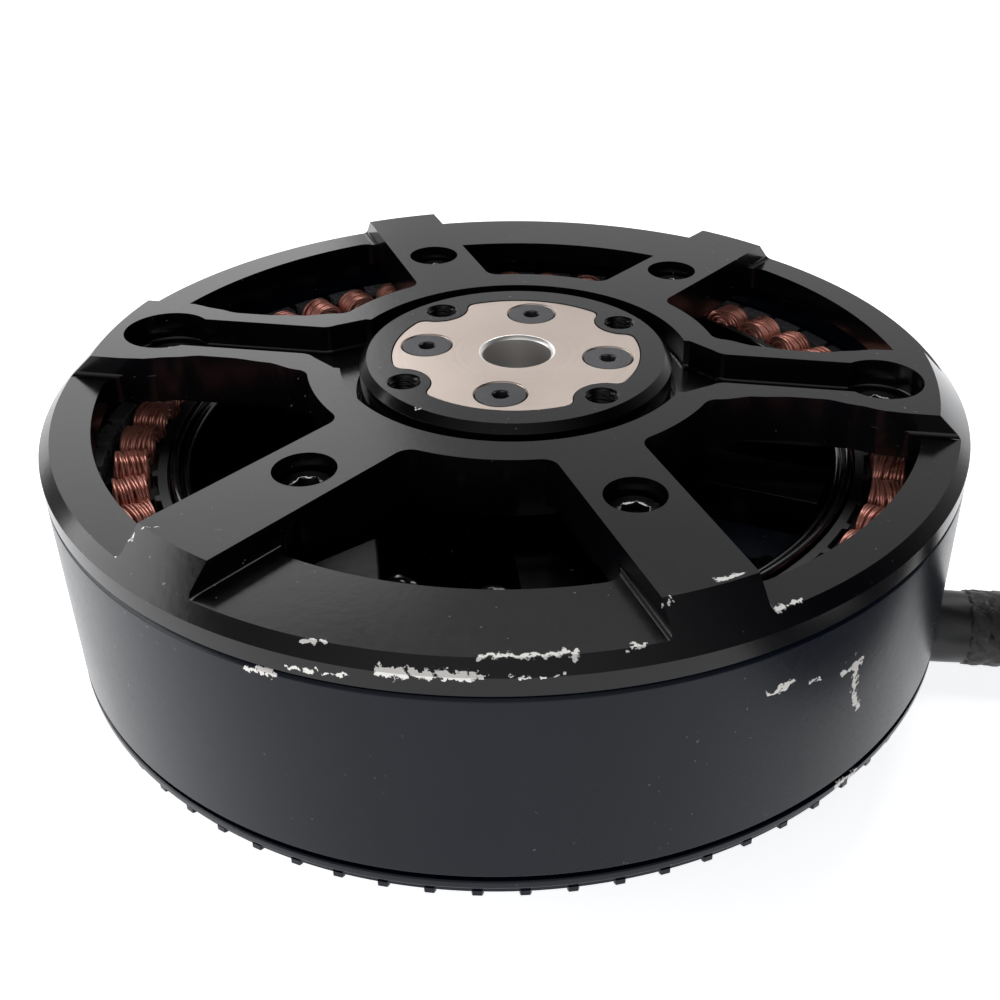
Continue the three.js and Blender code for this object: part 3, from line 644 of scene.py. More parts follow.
def laminated(name):
    """Stacked sheet steel: a fine line for each sheet."""
    n = Nodes(name)
    separate = n.node("ShaderNodeSeparateXYZ")
    n.link(n.place, separate.inputs[0])
    sheets = n.maths("FRACT", n.maths("MULTIPLY", separate.outputs[2], 1 / (SHEET * MM)))
    clouds = n.noise(60, 4)
    colour = n.mix(n.ramp(clouds, (0.35, 0.0), (0.7, 1.0)), (0.004, 0.004, 0.004), (0.012, 0.011, 0.011))
    rough = n.ramp(clouds, (0.3, 0.35), (0.7, 0.6))
    normal = n.bump(n.ramp(sheets, (0.0, 0.0), (0.15, 1.0), (0.85, 1.0), (1.0, 0.0)), 0.4, 0.0001)
    return n.set(color=colour, metallic=0.6, roughness=rough, normal=normal)


# ---------- wear ----------
FRONT = -80  # the side of the motor that has taken the knocks, in degrees
NEAR_ARM = -60  # the arm to the right of it
chance = random.Random(8)


def knocks(start, end, radius, height, count, reach, drift=0.2):
    """Marks strung out between two angles: each has two ends, as radius, degrees and height, and a reach."""
    step = (end - start) / count
    strokes = []
    for i in range(count):
        first = start + (i + chance.uniform(0, 0.25)) * step
        last = first + chance.uniform(0.55, 0.95) * step
        rise, fall = chance.uniform(-drift, drift), chance.uniform(-drift, drift)
        size = reach * chance.uniform(0.65, 1.15)
        strokes.append(((radius, first, height + rise), (radius, last, height + fall), size))
    return strokes


def worn_cover():
    """Knocks at the front of the rim, a scuffed rim wall, one scratched arm and a nicked boss."""
    wall = RIM_TOP - 1.5
    rim = knocks(FRONT - 4, FRONT + 6, 73, RIM_TOP, 4, 0.95)
    rim += knocks(FRONT + 10, FRONT + 13, 73, RIM_TOP, 1, 0.8)
    rim += knocks(FRONT - 21, FRONT - 18, 73.4, RIM_TOP, 2, 0.8)
    scuff = knocks(FRONT - 13, FRONT - 4, OUTER_R, wall, 4, 1.3)
    scuff += knocks(FRONT - 1, FRONT + 4, OUTER_R, wall, 2, 0.5)
    specks = knocks(FRONT - 22, FRONT - 16, OUTER_R, RIM_TOP - 3.2, 5, 0.65, 0.7)
    arm = knocks(NEAR_ARM - 6, NEAR_ARM - 5, 69.7, ARM_TOP - 1, 2, 0.7, 1.0)
    arm += knocks(NEAR_ARM + 1, NEAR_ARM + 4, 68.6, ARM_TOP, 2, 0.85, 0.1)
    step = knocks(NEAR_ARM + 6, NEAR_ARM + 9, 72.9, RIM_TOP, 3, 0.85, 0)
    bend = (70, -125, ARM_TOP)
    scratch = [((73, -126, RIM_TOP), bend, 0.42), (bend, (68, -123, ARM_TOP), 0.35)]
    boss = knocks(FRONT - 40, FRONT - 36, 24.8, HUB_TOP - 0.2, 2, 0.45)
    boss += knocks(FRONT - 4, FRONT - 2, 25, HUB_TOP, 1, 0.4)
    return rim + scuff + specks + arm + step + scratch + boss


def worn_ring():
    """Chips in the paint of the ring and of the band below it, and one scrape down the right-hand side."""
    top = knocks(FRONT - 27, FRONT - 24, OUTER_R, FLUX_TOP - 0.6, 2, 1.3, 0.5)
    side = knocks(NEAR_ARM + 5, NEAR_ARM + 8, OUTER_R, 44, 3, 0.85, 0.7)
    side += knocks(NEAR_ARM + 10, NEAR_ARM + 12, OUTER_R, 43, 2, 0.4, 0.1)
    side += knocks(NEAR_ARM + 15, NEAR_ARM + 18, OUTER_R, 41.3, 2, 1.0)
    scrape = [((OUTER_R, -42.5, 41), (OUTER_R, -42.3, 37), 1.1)]
    scrape += [((OUTER_R, -42.2, 36), (OUTER_R, -41, 32.5), 1.0)]
    band = knocks(NEAR_ARM + 17, NEAR_ARM + 21, OUTER_R, 18.5, 2, 1.0)
    return top + side + scrape + band


COVER_MARKS = worn_cover()
RING_MARKS = worn_ring()


COVER = coated("cover_coat", (0.0012, 0.0012, 0.0018), (0.003, 0.003, 0.004), (0.13, 0.23), bump=0.03,
               marks=COVER_MARKS)
COVER_EDGE = coated("cover_worn_edge", (0.002, 0.002, 0.003), (0.006, 0.006, 0.007), (0.14, 0.28), wear=0.45,
                    bump=0.03, marks=COVER_MARKS)
CARRIER = coated("carrier_coat", (0.001, 0.001, 0.0016), (0.002, 0.002, 0.003), (0.1, 0.2),
                 bump=0.02, ior=1.6)
CARRIER_EDGE = coated("carrier_worn_edge", (0.003, 0.003, 0.004), (0.009, 0.009, 0.01), (0.16, 0.28),
                      wear=0.1, ior=1.9)
# The ring paint, also used on the base band, carries vertical streaks of painted reflection in its colour.
RING = coated("ring_paint", (0.0008, 0.0024, 0.007), (0.002, 0.0045, 0.010), (0.2, 0.3), bump=0.04, ior=1.3,
              reflection_streaks=True, marks=RING_MARKS)
RING_EDGE = coated("ring_worn_edge", (0.002, 0.003, 0.005), (0.008, 0.008, 0.01), (0.25, 0.4), wear=0.6,
                   marks=RING_MARKS)
PLATE = turned_metal("plate_metal", (0.50, 0.42, 0.37), (0.56, 0.475, 0.42), (0.30, 0.38))
BORE = turned_metal("bore_metal", (0.9, 0.88, 0.86), (0.98, 0.96, 0.94), (0.3, 0.42), 2600.0)
PLATE_SCREW = turned_metal("plate_screw_metal", (0.045, 0.045, 0.05), (0.09, 0.09, 0.095), (0.36, 0.52),
                           metallic=0.7)
# Black oxide of the cover, base and circlip pieces; in the hub screws the same material darkens the hex
# sockets as painted shade.
BLACK_SCREW_AND_SOCKET_SHADE = coated("screw_oxide_and_socket_shade", (0.002, 0.002, 0.003), (0.008, 0.008, 0.009), (0.05, 0.2),
                     bump=0.25, ior=2.0)
STEEL = turned_metal("bearing_steel", (0.5, 0.5, 0.52), (0.62, 0.62, 0.64), (0.12, 0.24), 2000.0)
MAGNET = coated("magnet_nickel", (0.12, 0.12, 0.13), (0.2, 0.2, 0.21), (0.2, 0.35))
CORE = laminated("core_sheets")
COPPER = wire_look("copper_wire", (0.95, 0.42, 0.33), (0.5, 0.17, 0.12))
LINER = moulded("slot_liner", (0.0015, 0.0015, 0.002), (0.003, 0.003, 0.004))
LEAD = moulded("lead_sleeve", (0.002, 0.002, 0.003), (0.005, 0.005, 0.006), (0.10, 0.22), 700.0, 0.2, 0.4)
SHRINK = moulded("heat_shrink", (0.0006, 0.001, 0.002), (0.0015, 0.002, 0.003), (0.34, 0.46), 500.0, 0.12)
BRAID = moulded("braid_yarn", (0.002, 0.002, 0.003), (0.012, 0.012, 0.013), (0.4, 0.65), 2400.0, 0.5,
                scale=260)
PLUG = moulded("plug_plastic", (0.006, 0.006, 0.008), (0.012, 0.012, 0.015), (0.4, 0.55), 1500.0, 0.2)
GOLD = turned_metal("contact_gold", (0.75, 0.52, 0.2), (0.85, 0.62, 0.28), (0.15, 0.3))


# ---------- the cable ----------
EXIT = (*polar(54, CABLE_ANGLE), OUTLET_Z)
STRAIGHT = [
    EXIT, (*polar(62, CABLE_ANGLE), OUTLET_Z), (*polar(70, CABLE_ANGLE), OUTLET_Z),
    (*polar(79, CABLE_ANGLE), OUTLET_Z),
    (87.2, 3.8, 7.6), (91.5, 4.0, 7.6), (96.0, 4.2, 7.6), (100.5, 4.5, 7.6),
    (105.0, 5.1, 7.7), (109.4, 6.1, 7.8), (113.5, 7.4, 7.9),
]
TURNS_START = -29  # degrees round the coil where the lead joins it
TURNS_END = 798
LANE_CHANGE = (209, 122)  # where the outer lane gives way to the inner one, and how many degrees it takes
TAIL_RISE = (520, 110)
TAIL_SHIFT = (640, 110)
TAIL_REST = (700, 60)
TAIL_LIFT = (765, 35)
LANE_STEP = OUTER_TURN_R - INNER_TURN_R
TAIL_R = (OUTER_TURN_R + INNER_TURN_R) / 2
LIE = LIFT + CABLE_R
TAIL_Z = LIE + 2 * CABLE_R + 0.3  # where the plug holds the end
SINK = 1.9  # how far the end settles into the groove between the two lanes


def eased(turn, step):
    """0 before a step in degrees, 1 after it, and smooth between."""
    start, width = step
    x = min(max((turn - start) / width, 0), 1)
    return x * x * (3 - 2 * x)


def lane(turn):
    """Radius and height of the lead in its coil: the outer lane, the inner lane, then on top of both."""
    radius = OUTER_TURN_R - LANE_STEP * eased(turn, LANE_CHANGE) + LANE_STEP / 2 * eased(turn, TAIL_SHIFT)
    height = LIE + (TAIL_Z - LIE) * eased(turn, TAIL_RISE)
    height += SINK * (eased(turn, TAIL_LIFT) - eased(turn, TAIL_REST))
    return radius, height


def cable_route():
    """The lead's centre line: straight out, two lanes of coil side by side, and the end up on top of them."""
    knots = list(STRAIGHT)
    count = 57
    for i in range(count + 1):
        turn = TURNS_START + (TURNS_END - TURNS_START) * i / count
        radius, height = lane(turn)
        knots.append((*polar(radius, 90 - turn, COIL_CENTRE), height))
    return curve_points(knots, 14)


def spaced_evenly(points, gap):
    """Points every gap along a line."""
    result = [points[0]]
    left = gap
    for a, b in zip(points, points[1:]):
        length = (b - a).length
        while left <= length:
            result.append(a.lerp(b, left / length))
            left += gap
        left -= length
    return result


STRANDS = 14
YARN_PITCH = 30 / 1.1  # how far along the lead a yarn goes in half a turn round it


def braid_radius(gap):
    """The surface of a braid: two families of yarn, each over two and under two of the other."""
    def radius(i, angle):
        across = STRANDS * angle / (2 * math.pi)
        along = STRANDS * i * gap / (2 * YARN_PITCH)
        a, b = across + along, across - along
        one_on_top = (math.floor(a) + math.floor(b)) % 4 < 2
        top, under = (a, b) if one_on_top else (b, a)
        crown = math.sin(math.pi * (top % 1.0)) ** 0.6
        ends = math.sin(math.pi * (under % 1.0)) ** 0.35
        return CABLE_R - 0.55 + 0.62 * crown * (0.55 + 0.45 * ends)
    return radius


def add_cable():
    gap = 0.9
    centre = spaced_evenly(cable_route(), gap)
    hidden = sum(1 for p in centre if p.x < 84)
    shown = centre[hidden - 2:]
    bm = bmesh.new()
    sweep(bm, centre[:hidden], CABLE_R - 1.2, 24)
    sweep(bm, shown, braid_radius(gap), 56)
    ob = to_object("braided_lead", bm)
    ob.data.shade_smooth()
    piece(ob, "stator", [BRAID], ["cable", "cable_coil", "cable_tail"])
    length = sum((b - a).length for a, b in zip(centre, centre[1:])) * MM
    return ob, centre, length


def add_boot():
    """The heat-shrunk sleeve over the root of the lead, with its wrinkles and its flared end."""
    start, end = 52.4, 87.2
    steps = 60
    path = [(*polar(start + (end - start) * i / steps, CABLE_ANGLE), OUTLET_Z) for i in range(steps + 1)]

    def radius(i, angle):
        x = i / steps
        r = CABLE_R - 0.15 - 0.25 * x
        r += 0.10 * math.sin(angle * 3 + 9 * x) * math.sin(math.pi * x) + 0.05 * math.sin(angle * 7 - 21 * x)
        r += 0.32 * math.exp(-((x - 0.66) / 0.02) ** 2) * (0.6 + 0.4 * math.sin(angle * 2 + 1))
        r += 0.35 * math.exp(-((x - 0.965) / 0.02) ** 2)
        return r

    bm = bmesh.new()
    sweep(bm, path, radius, 64)
    ob = to_object("lead_sleeve", bm)
    smooth(ob)
    return piece(ob, "stator", [SHRINK], ["cable_boot"])


def on_coil(ob, turn, z):
    """Puts a piece made along +X at the origin on the coil."""
    x, y = polar(TAIL_R, 90 - turn, COIL_CENTRE)
    a = math.radians(-turn)
    for v in ob.data.vertices:
        px, py = v.co.x, v.co.y
        v.co.x = px * math.cos(a) - py * math.sin(a) + x * MM
        v.co.y = px * math.sin(a) + py * math.cos(a) + y * MM
        v.co.z += z * MM
    return ob


def box_outline(length, width, radius, steps=5):
    """A rectangle with round corners."""
    x, y = length / 2 - radius, width / 2 - radius
    corners = ((x, y, 0), (-x, y, 90), (-x, -y, 180), (x, -y, 270))
    points = []
    for cx, cy, start in corners:
        points += arc(radius, start, start + 90, steps, (cx, cy))
    return points


TIE_TURN = 54  # degrees round the coil
STRAP_WIDE = 6.6
STRAP_THICK = 0.8
STRAP_INSIDE = CABLE_R + 0.25


def strap_outline(reach, top):
    """A band pulled tight round the two lanes and the end that lies on them: points across and up."""
    half = LANE_STEP / 2
    lean = math.degrees(math.atan2(half, top - LIE))
    return (arc(reach, -90, lean, 8, (half, LIE)) + arc(reach, lean, 180 - lean, 8, (0, top))
            + arc(reach, 180 - lean, 270, 8, (-half, LIE)))


def add_tie():
    """A ratchet strap round the lanes and the end, with its head and its cut tongue."""
    top = lane(720 + TIE_TURN)[1]
    inner, outer = strap_outline(STRAP_INSIDE, top), strap_outline(STRAP_INSIDE + STRAP_THICK, top)
    n = len(inner)
    points = []
    for x in (-STRAP_WIDE / 2, STRAP_WIDE / 2):
        points += [(x, y, z) for y, z in inner + outer]
    faces = []
    for i in range(n):
        j = (i + 1) % n
        faces.append((i, j, n + j, n + i))
        faces.append((2 * n + i, 3 * n + i, 3 * n + j, 2 * n + j))
        faces.append((n + i, n + j, 3 * n + j, 3 * n + i))
        faces.append((i, 2 * n + i, 2 * n + j, j))
    bm = bmesh.new()
    add_faces(bm, points, faces)
    ob = to_object("ratchet_tie", bm)
    side = LANE_STEP / 2 + STRAP_INSIDE + STRAP_THICK
    head = prism("tie_head", box_outline(STRAP_WIDE + 1.4, 4.2, 0.6), LIE - 3.4, LIE + 3.4)
    tongue = prism("tie_tongue", box_outline(4.6, 1.2, 0.4), LIE - 1, LIE + 10)
    for part, out in ((head, 1.4), (tongue, 2.2)):
        carve(ob, [moved(part, y=side + out)], "UNION")
    soften(tidy(ob), 0.18, 2, 35)
    on_coil(ob, TIE_TURN, 0)
    return piece(ob, "stator", [PLUG], ["coil_tie"])


PLUG_TURN = 97.4
PLUG_Z = LIE + CABLE_R + 0.3 + 8
PLUG_LENGTH = 40.0
PLUG_WIDTH = 21.6
PLUG_HEIGHT = 15.6
POLES = (-6.6, 0.0, 6.6)


def pointing_out(ob, x, y):
    """Lays a piece made along +Z down along +X, with its foot at x."""
    for v in ob.data.vertices:
        v.co.x, v.co.z = v.co.z + x * MM, -v.co.x
        v.co.y += y * MM
    return ob


def add_connector():
    """A three-pole plug: ribbed grip, strain collar towards the lead, three deep sockets."""
    ob = prism("plug_body", box_outline(PLUG_LENGTH, PLUG_WIDTH, 2.2), -PLUG_HEIGHT / 2, PLUG_HEIGHT / 2)
    tools = [pointing_out(rod(2.9, 0, 19), PLUG_LENGTH / 2 - 15, y) for y in POLES]
    for k in range(7):
        for side in (-1, 1):
            grip = prism("grip", box_outline(1.4, 2.4, 0.5), -PLUG_HEIGHT, PLUG_HEIGHT)
            tools.append(moved(grip, -15 + 2.8 * k, side * (PLUG_WIDTH / 2 + 0.5)))
    carve(ob, tools)
    collar = prism("collar", box_outline(9, 16.4, 3.0), -7.0, 7.0)
    carve(ob, [moved(collar, -23, -3.2)], "UNION")
    soften(tidy(ob), 0.45, 3, 30)
    on_coil(ob, PLUG_TURN, PLUG_Z)
    return piece(ob, "stator", [PLUG], ["connector_housing"])


def add_contacts():
    """Gold bullet contacts with a slotted nose, down in their sockets."""
    profile = [(0, -6), (2.2, -6), (2.2, 3.2), (2.0, 3.6), (2.0, 4.6), (2.15, 5.2), (1.8, 6.0), (0.9, 6.0),
               (0.9, 0.5), (0, 0.5)]
    made = []
    for i, y in enumerate(POLES, 1):
        ob = pointing_out(lathe(f"plug_contact_{i}", profile, 32), PLUG_LENGTH / 2 - 8.4, y)
        smooth(ob)
        on_coil(ob, PLUG_TURN, PLUG_Z)
        made.append(piece(ob, "stator", [GOLD], [f"connector_contact_{i}"]))
    return made


cable, cable_centre, cable_length = add_cable()
boot = add_boot()
tie = add_tie()
plug = add_connector()
contacts = add_contacts()


# ---------- the spoked cover ----------
POCKET_ARM = (  # distance from the axis, and half the width of a pocket arm there
    (20, 11.2), (34, 11), (40, 9.2), (46, 8.5), (51, 8.5), (56, 9.8), (60, 11), (64, 11.3), (90, 11.3),
)
CORNER_R = 2.6


def half_width(angle, along):
    """Half the width of the arm at an angle, at a distance from the axis."""
    if angle % 180:
        return SPOKE_HALF
    for (a, wa), (b, wb) in zip(POCKET_ARM, POCKET_ARM[1:]):
        if a <= along <= b:
            t = (along - a) / (b - a)
            t = t * t * (3 - 2 * t) if 34 <= a < 64 else t
            return wa + (wb - wa) * t
    return POCKET_ARM[-1][1]


def arm_wall(angle, side, inner_r, outer_r):
    """One wall of an arm from the hub ring to the rim, with a round corner at each end."""
    points = []
    v_in = half_width(angle, inner_r) + CORNER_R
    u_in = math.sqrt((inner_r + CORNER_R) ** 2 - v_in ** 2)
    v_out = half_width(angle, outer_r - 4) + CORNER_R
    u_out = math.sqrt((outer_r - CORNER_R) ** 2 - v_out ** 2)
    turn = math.degrees(math.atan2(v_in, u_in))
    points += arc(CORNER_R, 180 + turn, 270, 6, (u_in, v_in))
    steps = 24
    for i in range(1, steps):
        u = u_in + (u_out - u_in) * i / steps
        points.append((u, half_width(angle, u)))
    turn = math.degrees(math.atan2(v_out, u_out))
    points += arc(CORNER_R, -90, turn, 6, (u_out, v_out))
    points = [(u, v * side) for u, v in points]
    return turned_by(points, angle)


def window_outline(angle, outer_r):
    first = arm_wall(angle, 1, HUB_RING_R, outer_r)
    second = arm_wall(angle + 60, -1, HUB_RING_R, outer_r)
    outer = arc(outer_r, direction((0, 0), first[-1]), direction((0, 0), second[-1]), 40)
    inner = arc(HUB_RING_R, direction((0, 0), second[0]), direction((0, 0), first[0]), 16)
    return first + outer[1:-1] + second[::-1] + inner[1:-1]


def rim_step_outline(angle):
    """The sector between two arms, from just inside the window's edge outwards."""
    reaches = (50.0, 56, 60, 64, 84)
    first = [(u, half_width(angle, u)) for u in reaches]
    second = [(u, -half_width(angle + 60, u)) for u in reaches]
    return turned_by(first, angle) + turned_by(second, angle + 60)[::-1]


def cover_blank():
    return lathe("bell_cover_look", [
        (26.8, WEB_BOTTOM), (70.6, WEB_BOTTOM), (70.6, SKIRT_BOTTOM), (OUTER_R - 0.25, SKIRT_BOTTOM),
        (OUTER_R, SKIRT_BOTTOM + 0.25), (OUTER_R, 54.25), (69.5, ARM_TOP), (26.8, ARM_TOP),
    ], 288)


def keyhole_outline():
    """The channel along a pocket arm with its flared mouth and the round pocket at its end."""
    half, round_r, flare = 5.2, 7.0, 3.0
    lower = [(24, -9.5), (28.5, -9.5)]
    lower += arc(flare, 140, 90, 6, (35.2, -half - flare))
    upper = [(x, -y) for x, y in reversed(lower)]
    start = math.degrees(math.atan2(-half, -math.sqrt(round_r ** 2 - half ** 2)))
    pocket = arc(round_r, start, -start, 40, (POCKET_SCREW_R, 0))
    return lower + pocket + upper


def screw_seat(floor, top):
    """A cap screw's counterbore, with its through hole."""
    hole, bore = SCREW_HOLE_R, 4.6
    return lathe("seat", [(0, BELOW), (hole, BELOW), (hole, floor), (bore, floor), (bore, top), (0, top)], 48)


def add_cover():
    cover = cover_blank()
    windows = []
    steps = []
    for angle in range(0, 360, 60):
        outer_r = END_WINDOW_R if angle in (60, 240) else SIDE_WINDOW_R
        windows.append(prism("window", window_outline(angle, outer_r), BELOW, ABOVE))
        step = prism("step", rim_step_outline(angle), RIM_TOP, ABOVE)
        steps.append(rounded_floor(step, RIM_TOP, 0.8))
    recess = rounded_floor(rod(RECESS_R, POCKET_FLOOR, ABOVE, 128), POCKET_FLOOR, 0.7)
    keyholes = []
    seats = []
    for angle in POCKETS:
        key = prism("keyhole", keyhole_outline(), POCKET_FLOOR, ABOVE)
        keyholes.append(spun(rounded_floor(key, POCKET_FLOOR, 0.8), angle))
        seats.append(spun(screw_seat(POCKET_SEAT, POCKET_FLOOR + 0.6), angle, POCKET_SCREW_R))
    for angle in SPOKES:
        seats.append(spun(screw_seat(SPOKE_SEAT, ABOVE), angle, SPOKE_SCREW_R))
    for tools in (steps, windows, [recess], keyholes, seats):
        carve(cover, [join(tools)])
    tidy(cover)
    soften(cover, 0.32, 3, 25, worn=True)
    return piece(cover, "rotor", [COVER, COVER_EDGE], ["bell_cover"])


add_cover()


# ---------- hub, shaft and the screws in them ----------
def bay_outline(distance, disc_r, bay_r, horn):
    """One bay of the lobed plate on the +X side, a hollow between two round horns, and its half angle."""
    x, y = circles_meet((0, 0), disc_r - horn, (distance, 0), bay_r + horn, 1)
    y = abs(y)
    reach = math.degrees(math.atan2(y, x))
    turn = math.degrees(math.atan2(y, distance - x))
    lower = arc(horn, -reach, turn, 6, (x, -y))
    hollow = arc(bay_r, 180 + turn, 180 - turn, 24, (distance, 0))
    upper = arc(horn, -turn, reach, 6, (x, y))
    return lower + hollow[1:-1] + upper, reach


def lobed_outline(grow=0.0):
    """A disc with a round bay at each propeller bolt."""
    distance = math.hypot(*PROP_HOLES[0]) * 1.06
    bay, reach = bay_outline(distance, LOBE_R + grow, NOTCH_R - grow, 1.9)
    angles = sorted(direction((0, 0), p) % 360 for p in PROP_HOLES)
    points = []
    for i, angle in enumerate(angles):
        following = angles[(i + 1) % 4] + (360 if i == 3 else 0)
        points += turned_by(bay, angle)
        points += arc(LOBE_R + grow, angle + reach, following - reach, 30)[1:-1]
    return points


def threaded(radius, bottom, top, pitch=0.8, depth=0.42, segments=28):
    """A cutter with a screw thread on it, countersunk at the top."""
    steps = int((top - bottom) / pitch * 8)
    bm = bmesh.new()
    rings = []
    for i in range(steps + 1):
        z = bottom + (top - bottom) * i / steps
        ring = []
        for k in range(segments):
            a = 2 * math.pi * k / segments
            phase = (z / pitch - k / segments) % 1.0
            r = radius - depth * abs(2 * phase - 1)
            r = max(r, radius + 0.3 - (top - z)) if z > top - 1.0 else r
            ring.append(bm.verts.new((r * math.cos(a) * MM, r * math.sin(a) * MM, z * MM)))
        rings.append(ring)
    for a, b in zip(rings, rings[1:]):
        for k in range(segments):
            bm.faces.new((a[k], a[(k + 1) % segments], b[(k + 1) % segments], b[k]))
    bm.faces.new(list(reversed(rings[0])))
    bm.faces.new(rings[-1])
    return to_object("thread", bm)


def add_hub():
    """The boss with the propeller bolts' threads, its flange and the six arms under the cover."""
    under = WEB_BOTTOM - 0.3
    bottom = low("rotor_hub")
    hub = lathe("rotor_hub_look", [
        (10.3, bottom), (33.5, bottom), (33.5, under), (26.0, under), (26.0, HUB_TOP - 1.25),
        (24.75, HUB_TOP), (10.3, HUB_TOP),
    ], 192)
    arms = []
    holes = []
    for angle in SPOKES + POCKETS:
        screw_r = SPOKE_SCREW_R if angle % 180 else POCKET_SCREW_R
        outline = [(28, -6), (screw_r, -6), *arc(5, -75, 75, 10, (screw_r, 0)), (screw_r, 6), (28, 6)]
        arms.append(spun(prism("arm", outline, bottom, under), angle))
        holes.append(spun(rod(SCREW_HOLE_R, BELOW, 52, 24), angle, screw_r))
    for arm in arms:
        carve(hub, [arm], "UNION")
    carve(hub, [prism("seat", lobed_outline(0.15), HUB_TOP - 3.2, ABOVE)])
    threads = [spun(threaded(2.5, 51, HUB_TOP + 0.05), 0, x, y) for x, y in PROP_HOLES]
    plate_holes = [spun(rod(SMALL_HOLE_R, 50, 60, 24), angle, PLATE_SCREW_R) for angle in PLATE_SCREWS]
    carve(hub, [join(holes + threads + plate_holes)])
    tidy(hub, 0.1)
    soften(hub, 0.14, 2, 38, worn=True)
    return piece(hub, "rotor", [COVER, COVER_EDGE], ["rotor_hub"])


def add_shaft():
    plate_bottom = PLATE_TOP - 2.8
    shaft = prism("flanged_shaft_look", lobed_outline(), plate_bottom, PLATE_TOP)
    stem = lathe("stem", [
        (0, SHAFT_BOTTOM), (9.4, SHAFT_BOTTOM), (10, SHAFT_BOTTOM + 0.6), (10, 17.6), (9, 17.6), (9, 19.2),
        (10, 19.2), (10, plate_bottom + 1), (0, plate_bottom + 1),
    ], 96)
    carve(shaft, [stem], "UNION")
    bore = lathe("bore", [
        (0, 10), (5.7, 10), (5.7, PLATE_TOP - 0.55), (6.25, PLATE_TOP), (6.25, ABOVE), (0, ABOVE),
    ], 96)
    carve(shaft, [bore])
    sinks = []
    for angle in PLATE_SCREWS:
        sink = [(0, 50), (2.3, 50), (2.3, PLATE_TOP - 2.2), (4.35, PLATE_TOP - 0.2),
                (4.35, ABOVE), (0, ABOVE)]
        sinks.append(spun(lathe("sink", sink, 48), angle, PLATE_SCREW_R))
    carve(shaft, [join(sinks)])
    tidy(shaft)
    soften(shaft, 0.18, 2, 30)
    for face in shaft.data.polygons:
        corners = [shaft.data.vertices[i].co for i in face.vertices]
        face.material_index = int(all(math.hypot(c.x, c.y) < 6.8 * MM for c in corners))
    return piece(shaft, "rotor", [PLATE, BORE], ["flanged_shaft"])


def socket_tool(across, bottom, top, turn):
    """A hex key's hole: six flats, a drilled cone below and a small chamfer above."""
    flats = prism("hex", arc(across / 2 / math.cos(math.pi / 6), turn, turn + 300, 5), bottom, top + 1)
    rim = bottom + 0.01
    cone = lathe("cone", [(0, bottom - across * 0.25), (across * 0.48, rim), (0, rim)], 24)
    narrow, wide = across * 0.52, across * 0.64
    lead_in = lathe("lead_in", [
        (0, top - 0.2), (narrow, top - 0.2), (wide, top + 0.05), (wide, top + 1), (0, top + 1),
    ], 24)
    return [flats, cone, lead_in]


def add_hub_screw(number, angle):
    top = HUB_TOP - 0.2
    screw = lathe(f"countersunk_screw_{number}", [
        (0, 52.5), (1.6, 52.5), (1.95, 52.9), (1.95, top - 2.3), (4.0, top - 0.25), (4.0, top - 0.08),
        (3.85, top), (0, top),
    ], 64)
    turn = random.uniform(0, 60)
    carve(screw, socket_tool(2.5, top - 1.9, top, turn))
    soften(tidy(screw), 0.07, 2, 30)
    # Faces down in the hex socket take the black material: painted shade that makes the socket read dark.
    for face in screw.data.polygons:
        corners = [screw.data.vertices[i].co for i in face.vertices]
        in_shaded_socket = all(math.hypot(c.x, c.y) < 1.6 * MM and c.z < (top - 0.1) * MM for c in corners)
        face.material_index = int(in_shaded_socket and min(c.z for c in corners) > (top - 3) * MM)
    spun(screw, angle, PLATE_SCREW_R)
    return piece(screw, "rotor", [PLATE_SCREW, BLACK_SCREW_AND_SOCKET_SHADE], [f"hub_screw_{number}"])


def cap_screw(name, seat, height, head_r, foot, shank_r, across):
    """A socket cap screw standing on +Z at the origin: knurled head, dished top."""
    top = seat + 0.3 + height
    teeth = 30
    outline = []
    for i in range(teeth * 4):
        a = 360 * i / (teeth * 4)
        outline.append(polar(head_r - (0.12 if i % 4 < 2 else 0), a))
    head = prism(name, outline, seat + 0.3, top)
    cap = lathe("cap", [
        (head_r - 0.55, top + 1), (head_r + 2, top + 1), (head_r + 2, top - 0.55),
        (head_r + 0.05, top - 0.55), (head_r - 0.5, top),
    ], 64)
    carve(head, [cap])
    shank = [(0, foot), (shank_r - 0.4, foot), (shank_r, foot + 0.4)]
    z = foot + 0.8
    while z < seat - 0.6:
        shank += [(shank_r, z), (shank_r - 0.35, z + 0.4)]
        z += 0.8
    shank += [(shank_r, seat), (shank_r, seat + 0.8), (0, seat + 0.8)]
    carve(head, [lathe("shank", shank, 32)], "UNION")
    turn = random.uniform(0, 60)
    carve(head, socket_tool(across, top - height * 0.6, top, turn))
    return soften(tidy(head), 0.08, 2, 32)


def add_cover_screw(kind, number, seat, height, angle, distance):
    node = f"{kind}_screw_{number}"
    screw = cap_screw(f"{kind}_cap_screw_{number}", seat, height, 4.25, low(node), 2.4, 4.0)
    spun(screw, angle, distance)
    piece(screw, "rotor", [BLACK_SCREW_AND_SOCKET_SHADE], [node])


add_hub()
add_shaft()
for number, angle in enumerate(PLATE_SCREWS, 1):
    add_hub_screw(number, angle)
for number, angle in enumerate(SPOKES, 1):
    add_cover_screw("spoke", number, SPOKE_SEAT, 2.7, angle, SPOKE_SCREW_R)
for number, angle in enumerate(POCKETS, 1):
    head_height = high(f"pocket_screw_{number}") - POCKET_SEAT - 0.3
    add_cover_screw("pocket", number, POCKET_SEAT, head_height, angle, POCKET_SCREW_R)


